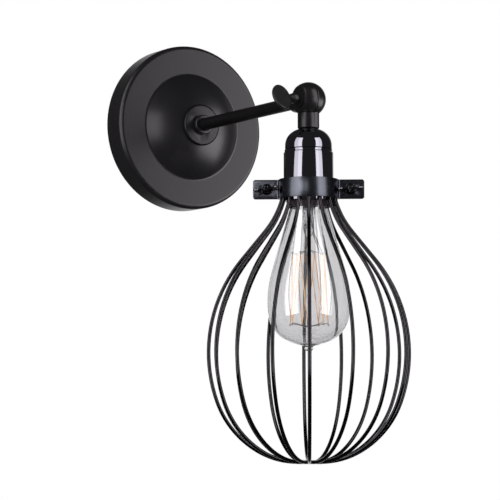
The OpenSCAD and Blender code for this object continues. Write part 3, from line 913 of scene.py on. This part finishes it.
@dataclass
class WallPlate(SubAssembly):
    """The domed plate with its bracket, nuts and washers."""

    ease_sheet: float = 0.25
    ease_nut: float = 0.35
    ease_washer: float = 0.5
    # Sizes of the near-black ring of painted shade round the washer.
    shade_ring_in: float = 16.52
    shade_ring_out: float = 17.3
    shade_ring_seat: float = 36.1
    shade_ring_face: float = 37.6
    shade_ring_edge: float = 0.25

    def build(self) -> None:
        """Dresses the plate, softens the bracket's edges and lays a near-black ring of painted shade round
        the washer.
        """
        self.dress(PLATE_BLACK, "canopy")
        self.eased("canopy_washer", WASHER_BLACK, "base", "black_satin", self.ease_washer)
        # The ring is painted shade: a near-black piece where the gap round the washer lies in shadow.
        self.fit(self.gap_shade_ring(), GAP_SHADE_BLACK, "base", "black_satin")
        self.eased("ring_nut", PLATE_BLACK, "base", "black_satin", self.ease_nut)
        self.eased("wall_crossbar", ZINC, "base", "zinc_steel", self.ease_sheet)
        self.eased("crossbar_nut", ZINC, "base", "zinc_steel", self.ease_nut)
        self.eased("ground_screw", GROUND_GREEN, "base", "ground_green", self.ease_sheet)
        self.dress(ZINC, "lock_washer")

    def gap_shade_ring(self) -> Piece:
        """Turns the thin near-black ring round the washer's edge: painted shade that stands in for the shadow
        in the gap there.

        Returns:
            The ring of painted shade.
        """
        low, high, edge = self.shade_ring_seat, self.shade_ring_face, self.shade_ring_edge
        return turned("canopy_seal", ARM_AXIS, [
            (self.shade_ring_in, low), (self.shade_ring_out, low), (self.shade_ring_out, high - edge),
            (self.shade_ring_out - edge, high), (self.shade_ring_in, high), (self.shade_ring_in, low)], steps=96)


@dataclass
class Arm(SubAssembly):
    """The arm tube and its leads."""

    def build(self) -> None:
        """Dresses the tube and its leads."""
        self.dress(ARM_BLACK, "arm_tube")
        self.dress(LEAD_WHITE, "supply_leads")


@dataclass
class Swivel(SubAssembly):
    """The two half balls and the thumb screw."""

    ease_ball: float = 0.3
    grip_len: float = 22.0
    grip_w: float = 15.8
    grip_t: float = 2.5
    grip_start: float = 17.0
    grip_turn: float = 26.0
    grip_edge: float = 0.9
    grip_points: int = 56
    shank_r: float = 3.0
    shank_tip: float = -8.4
    seat: float = 10.25
    shoulder_r: float = 4.2
    waist_r: float = 2.9

    def build(self) -> None:
        """Softens the half balls and models the thumb screw."""
        for node, body in (("arm_knuckle", "base"), ("head_knuckle", "head")):
            self.eased(node, SWIVEL_BLACK, body, "black_satin", self.ease_ball)
        self.dress(SWIVEL_BLACK, "spot_washer")
        self.dress(FIBRE, "friction_washer")
        self.fit(self.thumb_screw(), SWIVEL_BLACK, "thumb_screw", "black_satin", "thumb_screw")

    def thumb_screw(self) -> Piece:
        """Models the screw: a turned shank and shoulder that run into a flat oval grip.

        Returns:
            The screw.
        """
        start, shank, shoulder, waist = self.grip_start, self.shank_r, self.shoulder_r, self.waist_r
        stem = turned("thumb_stem", PIVOT_AXIS, [
            (0.0, self.shank_tip), (shank - 0.5, self.shank_tip), (shank, self.shank_tip + 0.5),
            (shank, self.seat), (shoulder - 0.4, self.seat), (shoulder, self.seat + 0.4),
            (shoulder, start - 3.2), (shoulder - 0.2, start - 2.2), (waist + 0.3, start - 0.6),
            (waist, start + 0.8), (1.9, start + 2.4), (0.0, start + 3.0)], steps=40)
        turn = math.radians(self.grip_turn)
        along = Vector((0.0, math.sin(turn), math.cos(turn)))
        flat = Vector((0.0, math.cos(turn), -math.sin(turn)))
        middle = HEAD + PIVOT_AXIS.along * (start + self.grip_w / 2) - flat * self.grip_t / 2
        outline = []
        for k in range(self.grip_points):
            angle = math.tau * k / self.grip_points
            outline.append(middle + along * (self.grip_len / 2 * math.cos(angle))
                           + PIVOT_AXIS.along * (self.grip_w / 2 * math.sin(angle)))
        grip = plate("thumb_grip", outline, flat * self.grip_t, self.grip_edge)
        return joined("thumb_screw_grip", [grip, stem])


@dataclass
class Lampholder(SubAssembly):
    """The holder's cap, body and inner parts."""

    cap_r: float = 18.2
    cap_round: float = 13.2
    cap_top: float = -22.9
    cap_wall: float = 1.6
    bore_r: float = 5.2
    seam: float = -39.2
    seam_gap: float = 0.3
    band_r: float = 18.6
    band_end: float = -41.3
    barrel_r: float = 19.3
    barrel_end: float = -79.8
    barrel_bore_r: float = 16.7
    edge: float = 0.3

    def build(self) -> None:
        """Turns the cap and the body and dresses the inner parts."""
        self.fit(self.cap(), HOLDER_BLACK, "head", "holder_gloss", "holder_cap")
        self.fit(self.barrel(), HOLDER_BLACK, "head", "holder_gloss", "holder_shell")
        self.dress(MOUTH_BROWN, "socket_insert")
        self.dress(BRASS, "neck_nipple", "screw_shell", "centre_contact", "terminal_screws")
        self.dress(ZINC, "cap_nut")
        self.dress(LEAD_WHITE, "holder_leads")

    def cap(self) -> Piece:
        """Turns the domed cap with its wall.

        Returns:
            The cap.
        """
        middle_r, middle_z = self.cap_r - self.cap_round, self.cap_top - self.cap_round
        inner = self.cap_round - self.cap_wall
        dome = [(middle_r + self.cap_round * math.sin(t), middle_z + self.cap_round * math.cos(t))
                for t in (math.radians(a) for a in range(3, 91, 3))]
        hollow = [(middle_r + inner * math.sin(t), middle_z + inner * math.cos(t))
                  for t in (math.radians(a) for a in range(90, 2, -6))]
        foot = self.seam + self.seam_gap / 2
        rim = [(self.cap_r, foot + self.edge), (self.cap_r - self.edge * 0.3, foot + self.edge * 0.3),
               (self.cap_r - self.edge, foot), (self.cap_r - self.cap_wall, foot)]
        top = [(self.bore_r, self.cap_top)]
        close = [(self.bore_r, self.cap_top - self.cap_wall), top[0]]
        return turned("holder_cap_turned", HEAD_AXIS, top + dome + rim + hollow + close, steps=96)

    def barrel(self) -> Piece:
        """Turns the body: a narrow band under the cap, a small step and a straight barrel.

        Returns:
            The body.
        """
        bore, band, r, edge = self.barrel_bore_r, self.band_r, self.barrel_r, self.edge
        head, step, end = self.seam - self.seam_gap / 2, self.band_end, self.barrel_end
        return turned("holder_barrel", HEAD_AXIS, [
            (bore, head), (band - edge, head), (band - edge * 0.3, head - edge * 0.3), (band, head - edge),
            (band, step), (band + 0.1, step - 0.15), (r - 0.15, step - 0.4), (r, step - 0.65), (r, end + 0.9),
            (r - 0.25, end + 0.25), (r - 0.9, end), (bore, end), (bore, head)], steps=96)


@dataclass
class Clamp(SubAssembly):
    """The two half straps with their screws, washers and wing nuts."""

    reach: float = 32.5
    height: float = -70.1
    ear_face: float = 1.5
    washer_t: float = 0.8
    seat_gap: float = 0.05
    screw_r: float = 2.0
    core_r: float = 1.62
    pitch: float = 0.7
    tip: float = 9.0
    head_r: float = 3.8
    head_h: float = 2.4
    nut_r: float = 4.2
    nut_bore_r: float = 2.05
    wing_t: float = 1.7
    wing_edge: float = 0.5
    slot_w: float = 0.9
    slot_d: float = 1.2
    ease_strap: float = 0.3
    ease_washer: float = 0.15
    lean: dict[int, float] = field(default_factory=lambda: {-1: 9.0, 1: 3.0})

    def screw_axis(self, side: int) -> Axis:
        """Returns the line of the left (-1) or right (1) clamp screw."""
        return Axis(HEAD + CLAMP_SIDE * side * self.reach + UP * self.height, CLAMP_OUT, UP)

    def build(self) -> None:
        """Softens the straps and models the fixings."""
        for node in ("collar_front", "collar_back"):
            self.eased(node, STRAP_GREY, "head", "strap_paint", self.ease_strap)
        self.eased("clamp_washers", FIXING_BLACK, "head", "fixing_black", self.ease_washer)
        screws = [self.screw(side) for side in (-1, 1)]
        self.fit(joined("clamp_screw_pair", screws), FIXING_BLACK, "head", "fixing_black", "clamp_screws")
        nut = self.wing_nut()
        for side, label in ((-1, "left"), (1, "right")):
            spot = self.screw_axis(side)
            foot = spot.origin + spot.along * (self.ear_face + self.washer_t + self.seat_gap)
            stand = stood(foot, spot.along.cross(UP), spot.along, UP)
            lean = Matrix.Rotation(math.radians(self.lean[side]), 4, "Y")
            piece = copied(nut, f"wing_nut_{label}_cast", stand @ lean)
            self.fit(piece, FIXING_BLACK, f"wing_nut_{label}", "fixing_black", f"wing_nut_{label}")
        bpy.data.objects.remove(nut)

    def screw(self, side: int) -> Piece:
        """Models one round-headed screw with its thread.

        Args:
            side: -1 for the left one, 1 for the right one.

        Returns:
            The screw.
        """
        axis, under, r = self.screw_axis(side), -self.ear_face, self.head_r
        head = turned("screw_head", axis, [
            (0.0, under), (r - 0.2, under), (r, under - 0.3), (r - 0.2, under - 1.0), (r - 0.9, under - 1.8),
            (r - 2.1, under - 2.3), (0.0, under - self.head_h)], steps=40)
        outside, half = 1.0, self.slot_w / 2
        corners = ((-5, -half), (5, -half), (5, half), (-5, half))
        slot = [axis.at(x, under - self.head_h - outside, y) for x, y in corners]
        cutter = Bench("slot_cutter").draw(slot).fill(axis.along * (outside + self.slot_d)).done()
        apply(head, "BOOLEAN", operation="DIFFERENCE", object=cutter, solver="EXACT")
        bpy.data.objects.remove(cutter)
        return joined("clamp_screw", [head, self.thread(axis)])

    def thread(self, axis: Axis) -> Piece:
        """Models a shank with a thread along an axis.

        Args:
            axis: The screw's axis.

        Returns:
            The shank.
        """
        bench = Bench("thread")
        bench.draw([Vector((self.core_r, 0.0, 0.0)), Vector((self.screw_r, 0.0, self.pitch / 2)),
                    Vector((self.core_r, 0.0, self.pitch))])
        bpy.ops.object.mode_set(mode="OBJECT")
        length = self.tip + self.ear_face
        turns = int(length / self.pitch) - 1
        apply(bench.piece, "SCREW", steps=24, render_steps=24, screw_offset=self.pitch * MM,
              iterations=turns, use_merge_vertices=True, merge_threshold=1e-6)
        bpy.ops.object.mode_set(mode="EDIT")
        bench.tidy().done(50.0)
        start = axis.at(0.0, self.tip - (turns + 1) * self.pitch)
        move = stood(start, axis.side, axis.along.cross(axis.side), axis.along)
        thread = copied(bench.piece, "thread_laid", move)
        bpy.data.objects.remove(bench.piece)
        core = turned("thread_core", axis, [
            (0.0, -self.ear_face - 0.2), (self.core_r, -self.ear_face - 0.2), (self.core_r, self.tip - 0.3),
            (self.core_r - 0.3, self.tip), (0.0, self.tip)], steps=24)
        return joined("thread_pair", [thread, core])

    def wing_nut(self) -> Piece:
        """Models a wing nut that stands on the origin, facing along +Y with its wings along X.

        Returns:
            The nut.
        """
        stand = Axis(ORIGIN, -OUT, RIGHT)
        bore, r = self.nut_bore_r, self.nut_r
        base = turned("nut_base", stand, [
            (bore, 0.3), (bore + 0.3, 0.0), (r - 0.3, 0.0), (r, 0.3), (r - 0.1, 1.1), (r - 0.9, 2.9),
            (r - 1.1, 3.6), (r - 1.5, 4.1), (bore + 0.3, 4.1), (bore, 3.8), (bore, 0.3)], steps=40)
        shape = ((3.0, 1.0), (4.1, 1.4), (6.0, 2.7), (8.2, 3.6), (9.6, 4.5), (10.2, 5.8), (10.1, 7.2),
                 (9.2, 8.5), (7.8, 9.0), (6.4, 8.6), (5.4, 7.4), (4.6, 5.6), (3.8, 4.4), (3.0, 3.8))
        wings = []
        for side in (-1, 1):
            outline = [Vector((side * x, y, -self.wing_t / 2)) for x, y in shape]
            wings.append(plate(f"wing_{side}", outline, UP * self.wing_t, self.wing_edge))
        return joined("wing_nut_master", [base, *wings])


@dataclass
class Cage(SubAssembly):
    """The sixteen wires and the weld at the bottom."""

    wire_r: float = 1.45
    line_r: float = 20.8
    top: float = -63.8
    bend: float = -77.0
    belly_z: float = -196.0
    belly_r: float = 77.05
    lower: float = 83.8
    hub_r: float = 8.8
    hub_gap: float = 0.05
    ease_end: float = 0.3
    flare: float = 39.2
    sides: int = 20
    phase: float = 4.0
    sway: tuple[float, ...] = (
        -2.2, 0.0, 2.3, 2.4, 0.0, -1.5, 2.0, 0.3, 0.5, 0.0, 0.0, -0.5, -0.5, -0.5, -1.5, -0.5)

    def build(self) -> None:
        """Models one wire, lays its copies round the holder and welds them at the bottom."""
        master = self.wire()
        for number, turn in enumerate(self.turns(), 1):
            node = f"cage_wire_{number:02d}"
            self.fit(copied(master, f"{node}_rod", turn), WIRE_BLACK, "head", "wire_black", node)
        bpy.data.objects.remove(master)
        self.fit(self.weld(), WIRE_BLACK, "head", "wire_black", "cage_hub")

    def turns(self) -> list[Matrix]:
        """Returns each wire's turn about the head's axis."""
        return [about(HEAD_AXIS, CLAMP_TURN + math.radians(self.phase + i * 360 / len(self.sway) + sway - 90))
                for i, sway in enumerate(self.sway)]

    def wire(self) -> Piece:
        """Bends one wire in the plane to the head's +X side.

        Returns:
            The wire.
        """
        place = Place(self.hub_r + self.hub_gap, self.belly_z - self.lower, 0.0)
        pear = Pear(mouth_r=self.line_r, mouth_h=self.bend - self.belly_z, belly_r=self.belly_r,
                    foot_r=place.x, foot_h=self.lower, flare=self.flare, neck_r=70.0, hip=20.0, heel=60.0,
                    kick=18.0, kick_r=10.0)
        deselect()
        bpy.ops.mesh.primitive_circle_add(vertices=self.sides, radius=self.wire_r * MM,
                                          location=HEAD_AXIS.at(place.x, place.y) * MM,
                                          rotation=(0.0, math.pi / 2, 0.0))
        bpy.ops.object.transform_apply(location=True, rotation=True, scale=True)
        bpy.ops.object.mode_set(mode="EDIT")
        bpy.ops.mesh.select_all(action="SELECT")
        for move in pear.moves() + [Move(self.top - self.bend)]:
            if move.turn:
                centre = HEAD_AXIS.at(*move.centre(place)) * MM
                bpy.ops.mesh.spin(steps=math.ceil(abs(move.turn) / 3.0), angle=math.radians(move.turn),
                                  center=centre, axis=(0.0, 1.0, 0.0))
            else:
                end = move.end(place)
                step = HEAD_AXIS.at(end.x, end.y) - HEAD_AXIS.at(place.x, place.y)
                bpy.ops.mesh.extrude_region_move(TRANSFORM_OT_translate={"value": step * MM})
            place = move.end(place)
        close_up()
        return ease(set_down(40.0), self.ease_end, angle=60.0)

    def weld(self) -> Piece:
        """Models the weld where the wires meet: a lumpy button with a bead at each wire.

        Returns:
            The weld.
        """
        middle, rim = self.belly_z - self.lower, self.hub_r
        button = turned("button", HEAD_AXIS, [
            (0.0, middle - 1.35), (3.0, middle - 1.5), (rim - 1.6, middle - 1.45), (rim - 0.4, middle - 1.0),
            (rim, middle), (rim - 0.4, middle + 1.0), (rim - 1.6, middle + 1.45), (3.0, middle + 1.5),
            (0.0, middle + 1.35)], steps=64)
        bead_axis = Axis(HEAD_AXIS.at(rim - 0.6, middle), HEAD_AXIS.side, UP)
        bead = turned("bead", bead_axis, [
            (0.0, -1.6), (1.0, -1.3), (1.5, -0.4), (1.6, 0.4), (1.55, 1.3), (0.0, 1.5)], steps=20)
        beads = [copied(bead, f"bead_{i}", turn) for i, turn in enumerate(self.turns())]
        bpy.data.objects.remove(bead)
        return joined("cage_weld", [button, *beads])


@dataclass
class Bulb(SubAssembly):
    """The clear bulb with its stem and filament."""

    glass_top: float = -79.6
    belly_z: float = -156.2
    bottom: float = -190.9
    glass_t: float = 0.8
    mouth_r: float = 14.0
    belly_r: float = 32.0
    tip_r: float = 6.2
    hairpins: int = 7
    hook_top: float = -120.2
    hook_low: float = -174.2
    top_r: float = 12.5
    low_r: float = 15.0
    strand_r: float = 0.36
    support_r: float = 0.26
    button_top: float = -117.2
    button_low: float = -176.2
    button_r: float = 1.9
    press_top: float = -98.8
    press_low: float = -104.6
    feed_share: float = 0.12
    bow: float = 1.6

    def build(self) -> None:
        """Models the glass, stem and filament and dresses the cap."""
        self.dress(BRASS, "bulb_cap")
        self.dress(VITREOUS, "bulb_insulator")
        self.dress(SOLDER, "bulb_contact")
        self.fit(self.envelope(), CLEAR_GLASS, "bulb", "clear_glass", "bulb_glass")
        self.fit(self.stem(), STEM_GLASS, "bulb", "clear_glass", "glass_stem")
        self.fit(self.filament(), FILAMENT_GLOW, "bulb", "glow_wire", "filament")
        self.fit(self.supports(), SUPPORT_WIRE, "bulb", "support_wire", "filament_supports")

    def envelope(self) -> Piece:
        """Turns the glass: a pear with a drawn-off tip and an inner wall.

        Returns:
            The glass.
        """
        pear = Pear(mouth_r=self.mouth_r, mouth_h=self.glass_top - self.belly_z, belly_r=self.belly_r,
                    foot_r=0.0, foot_h=self.belly_z - self.bottom, flare=16.0, neck_r=24.0,
                    hip=10.0, heel=58.0)
        moves = pear.moves()
        outer = outline_of(Place(0.0, self.bottom, 0.0), moves)
        inside = [move.beside(self.glass_t) for move in moves]
        inner = outline_of(Place(0.0, self.bottom + self.glass_t, 0.0), inside)
        tip = [(0.0, -4.3), (1.0, -4.2), (2.0, -3.85), (2.9, -3.2), (3.35, -2.4), (3.35, -1.7), (3.1, -1.1),
               (3.2, -0.65), (3.8, -0.25), (4.9, 0.08)]
        foot = [(r, self.bottom + h) for r, h in tip]
        wall = [point for point in outer if point[0] > self.tip_r]
        return turned("bulb_envelope", HEAD_AXIS, foot + wall + list(reversed(inner)), steps=96)

    def stem(self) -> Piece:
        """Turns the flared stem, pinches its press flat and draws out the rod with its two buttons.

        Returns:
            The stem.
        """
        top, low, r = self.button_top, self.button_low, self.button_r
        shape = [
            (0.0, -97.5), (2.4, -96.8), (3.3, -94.5), (3.6, -90.0), (4.6, -86.0), (7.6, -82.6),
            (12.2, -80.2), (13.0, -80.6), (8.6, -83.2), (5.6, -86.6), (4.6, -90.5), (4.4, -95.0),
            (4.2, -99.0), (3.9, -102.0), (3.4, -104.4), (2.2, -106.2), (1.2, -107.4), (1.0, -109.0),
            (1.0, top + 2.0), (1.4, top + 1.5), (r - 0.1, top + 0.7), (r, top), (r - 0.1, top - 0.7),
            (1.4, top - 1.5), (1.0, top - 2.0), (1.0, low + 2.0), (1.4, low + 1.5), (r, low + 0.4),
            (r, low - 0.4), (1.3, low - 1.5), (0.0, low - 1.9)]
        bench = Bench("bulb_stem").draw([HEAD_AXIS.at(radius, height) for radius, height in shape])
        bench.spin(HEAD_AXIS, 48)
        bench.pick(lambda spot: self.press_low < spot.z < self.press_top).resize((1.25, 0.5, 1.0), HEAD)
        return bench.done()

    def hook(self, radius: float, height: float, turns: float) -> Vector:
        """Returns a place round the head's axis, at a share of the filament's hairpins."""
        angle = math.tau * turns / self.hairpins
        return HEAD + Vector((radius * math.cos(angle), radius * math.sin(angle), height))

    def filament(self) -> Piece:
        """Draws the filament: long hairpins that bow a little between their hooks.

        Returns:
            The filament.
        """
        stops = [self.hook(self.top_r, self.hook_top, self.feed_share)]
        for k in range(self.hairpins):
            stops.append(self.hook(self.low_r, self.hook_low, k + 0.5))
            stops.append(self.hook(self.top_r, self.hook_top, min(k + 1, self.hairpins - self.feed_share)))
        points = [stops[0]]
        for here, there in zip(stops, stops[1:]):
            out = ((here + there) / 2 - HEAD).normalized()
            for share in (0.25, 0.5, 0.75):
                bow = Vector((out.x, out.y, 0.0)) * self.bow * math.sin(math.pi * share)
                points.append(here.lerp(there, share) + bow)
            points.append(there)
        return wire("bulb_filament", bent(points, 0.9), self.strand_r, smooth=2)

    def supports(self) -> Piece:
        """Draws the hooks that hold the filament and the two wires that feed it.

        Returns:
            The supports and feeds as one piece.
        """
        pieces = []
        for radius, height, button, shift, rise in (
            (self.top_r, self.hook_top, self.button_top, 0.0, 1.0),
            (self.low_r, self.hook_low, self.button_low, 0.5, -1.0),
        ):
            stops = ((1.2, button), (radius - 1.2, height - 0.5 * rise), (radius + 0.9, height + 0.2 * rise),
                     (radius + 0.5, height + 1.1 * rise), (radius - 0.7, height + 0.9 * rise))
            path = bent([self.hook(r, z, shift) for r, z in stops], 0.6)
            arm = wire("hook", path, self.support_r, smooth=1)
            first = 1 if rise > 0 else 0
            for k in range(first, self.hairpins):
                pieces.append(copied(arm, f"hook_{k}", about(HEAD_AXIS, math.tau * k / self.hairpins)))
            bpy.data.objects.remove(arm)
        for share, side in ((self.feed_share, 1), (self.hairpins - self.feed_share, -1)):
            end = self.hook(self.top_r, self.hook_top, share)
            path = [HEAD + Vector((2.2, side * 1.2, -82.0)), HEAD + Vector((3.0, side * 0.6, -98.0)),
                    HEAD + Vector((4.4, side * 0.9, -104.0)), end + Vector((-0.6, 0.0, 1.2)), end]
            pieces.append(wire(f"feed_{side}", bent(path, 1.5), self.support_r * 1.6, smooth=1))
        return joined("bulb_supports", pieces)


# ---------------------------------------------------------------- studio
PLATE_PIECES = ("canopy", "canopy_washer_eased", "ring_nut_eased")
SATIN_PIECES = ("arm_knuckle_eased", "head_knuckle_eased", "spot_washer")
STRAP_PIECES = ("collar_front_eased", "collar_back_eased")
GLASS_PIECES = ("bulb_envelope",)
HOLDER_PIECES = ("holder_cap_turned", "holder_barrel")
NUT_PIECES = ("wing_nut_left_cast", "wing_nut_right_cast", "clamp_screw_pair")


@dataclass(frozen=True)
class Softbox:
    """A flat lamp that spans two azimuths and two heights and faces the light's own axis."""

    name: str
    left: float
    right: float
    bottom: float
    top: float
    radiance: float
    distance: float = 2.0
    aim_y: float = -0.197
    only: tuple[str, ...] = ()
    without: tuple[str, ...] = ()

    def build(self) -> None:
        """Adds the lamp, unseen by the camera and through glass."""
        angle = math.radians((self.left + self.right) / 2)
        facing = Vector((math.sin(angle), -math.cos(angle), 0.0))
        width = 2 * self.distance * math.tan(math.radians((self.right - self.left) / 2))
        height = self.top - self.bottom
        lamp = bpy.data.lights.new(self.name, "AREA")
        lamp.shape = "RECTANGLE"
        lamp.size = width
        lamp.size_y = height
        lamp.energy = self.radiance * math.pi * width * height
        lit = bpy.data.objects.new(self.name, lamp)
        lit.location = Vector((0.0, self.aim_y, (self.top + self.bottom) / 2)) + facing * self.distance
        lit.rotation_euler = facing.to_track_quat("Z", "Y").to_euler()
        lit.visible_camera = False
        lit.visible_transmission = False
        bpy.context.scene.collection.objects.link(lit)
        if self.only or self.without:
            self.flag(lit)

    def flag(self, lit: Piece) -> None:
        """Keeps the lamp to some pieces, or off them, as a studio flag does.

        Args:
            lit: The lamp.
        """
        group = bpy.data.collections.new(f"{self.name}_pieces")
        for name in self.only or self.without:
            group.objects.link(bpy.data.objects[name])
        lit.light_linking.receiver_collection = group
        for entry in group.collection_objects:
            entry.light_linking.link_state = "INCLUDE" if self.only else "EXCLUDE"


SIDES = (
    ("left_outer", -106.0, -86.0, 2.1, ()),
    ("left_inner", -86.0, -66.0, 2.8, ()),
    ("right_inner", 2.0, 18.0, 2.9, PLATE_PIECES),
    ("right_outer", 18.0, 35.0, 2.4, PLATE_PIECES),
)
LOW, HIGH, HOLDER_TOP = -0.66, 3.2, 1.7
AT_PLATE = {"distance": 1.0, "aim_y": -0.03}
SOFTBOXES = (
    *(Softbox(name, left, right, LOW, HIGH, radiance, without=off + HOLDER_PIECES)
      for name, left, right, radiance, off in SIDES),
    *(Softbox(f"holder_{name}", left, right, LOW, HOLDER_TOP, radiance, only=HOLDER_PIECES)
      for name, left, right, radiance, _ in SIDES),
    Softbox("plate_right_high", 30.0, 72.0, 0.0, 0.50, 2.6, only=PLATE_PIECES, **AT_PLATE),
    Softbox("plate_right_low", 30.0, 72.0, -0.50, 0.0, 3.5, only=PLATE_PIECES + SATIN_PIECES, **AT_PLATE),
    Softbox("plate_left", -52.0, -31.0, -0.24, 0.44, 2.7, only=PLATE_PIECES, **AT_PLATE),
    Softbox("clamp_left", -70.0, -55.0, -0.25, 0.62, 2.4, only=STRAP_PIECES),
    Softbox("clamp_front", -48.0, -38.0, -0.25, 0.62, 1.5, only=STRAP_PIECES),
    Softbox("nut_glint", -28.0, -14.0, 0.0, 0.6, 6.0, only=NUT_PIECES),
    Softbox("glass_left", -102.0, -60.0, LOW, HIGH, 3.0, only=GLASS_PIECES),
    Softbox("glass_right", -5.0, 30.0, LOW, HIGH, 3.0, only=GLASS_PIECES),
)


@dataclass
class Studio:
    """Camera, lamps, backdrop and floor."""

    palette: Palette
    azimuth: float = -32.54
    elevation: float = -5.18
    distance: float = 1.7
    target: tuple[float, float, float] = (-0.0539, -0.1973, -0.1197)
    focal_px: float = 2244.0
    frame_px: float = 500.0
    sensor: float = 36.0
    floor_y: float = -0.2
    floor_z: float = -0.70
    floor_r: float = 1.6
    floor_lift: float = 0.36
    fill: float = 0.22
    dark_side: float = 0.04
    halo_from: float = 0.80
    halo_full: float = 0.99

    def back(self) -> Vector:
        """Returns the direction from the target to the camera."""
        a, e = math.radians(self.azimuth), math.radians(self.elevation)
        return Vector((math.sin(a) * math.cos(e), -math.cos(a) * math.cos(e), math.sin(e)))

    def add_camera(self) -> None:
        """Adds the camera at the photograph's viewing angle."""
        data = bpy.data.cameras.new("camera")
        data.sensor_width = self.sensor
        data.lens = self.focal_px / self.frame_px * self.sensor
        camera = bpy.data.objects.new("camera", data)
        camera.location = Vector(self.target) + self.back() * self.distance
        camera.rotation_euler = (-self.back()).to_track_quat("-Z", "Y").to_euler()
        bpy.context.scene.collection.objects.link(camera)
        bpy.context.scene.camera = camera

    def add_world(self) -> None:
        """Makes the backdrop white for the camera and through glass, and dark to the sides."""
        world = bpy.data.worlds.new("backdrop")
        bpy.context.scene.world = world
        world.use_nodes = True
        wiring = Wiring(world.node_tree)
        shader = world.node_tree.nodes["Background"]
        path = wiring.add("ShaderNodeLightPath")
        direction = wiring.add("ShaderNodeTexCoord").outputs["Generated"]
        towards = wiring.add("ShaderNodeVectorMath", operation="DOT_PRODUCT")
        towards.inputs[1].default_value = -self.back()
        wiring.join(direction, towards.inputs[0])
        behind = wiring.add("ShaderNodeMapRange", From_Min=self.halo_from, From_Max=self.halo_full,
                            To_Min=self.dark_side, To_Max=1.0)
        wiring.join(towards.outputs["Value"], behind.inputs["Value"])
        seen = wiring.maths("MAXIMUM", path.outputs["Is Camera Ray"], path.outputs["Is Transmission Ray"])
        mirrored = wiring.maths("MULTIPLY", path.outputs["Is Glossy Ray"], behind.outputs["Result"])
        shown = wiring.maths("MAXIMUM", seen, mirrored)
        unlit = wiring.maths("SUBTRACT", 1.0, wiring.maths("MAXIMUM", seen, path.outputs["Is Glossy Ray"]))
        strength = wiring.maths("ADD", shown, wiring.maths("MULTIPLY", unlit, self.fill))
        wiring.join(strength, shader.inputs["Strength"])
        settle(shader, Color=WHITE)

    def add_floor(self) -> None:
        """Adds a plain pale floor, which isn't part of the light."""
        deselect()
        bpy.ops.mesh.primitive_circle_add(vertices=96, radius=self.floor_r, fill_type="NGON",
                                          location=(0.0, self.floor_y, self.floor_z))
        floor = bpy.context.object
        floor.name = "floor"
        bpy.ops.object.transform_apply(location=True, rotation=True, scale=True)
        pale = self.palette.of(FLOOR_PALE)
        wiring, shader = Wiring(pale.node_tree), pale.node_tree.nodes["Principled BSDF"]
        seen = wiring.add("ShaderNodeLightPath").outputs["Is Camera Ray"]
        wiring.join(wiring.maths("MULTIPLY", seen, self.floor_lift), shader.inputs["Emission Strength"])
        settle(shader, Emission_Color=WHITE)
        floor.data.materials.append(pale)
        floor.visible_glossy = False

    def build(self) -> None:
        """Adds everything round the light."""
        self.add_camera()
        self.add_world()
        self.add_floor()
        for box in SOFTBOXES:
            box.build()


def main() -> None:
    """Builds the light's looks in order."""
    logging.basicConfig(level=logging.INFO, format="%(name)s: %(message)s")
    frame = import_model()
    deselect()
    bpy.context.scene.view_settings.view_transform = "Standard"
    palette = Palette()
    for part in (WallPlate, Arm, Swivel, Lampholder, Clamp, Cage, Bulb):
        part(frame["nodes"], palette).build()
    Studio(palette).build()


if __name__ == "__main__":
    main()
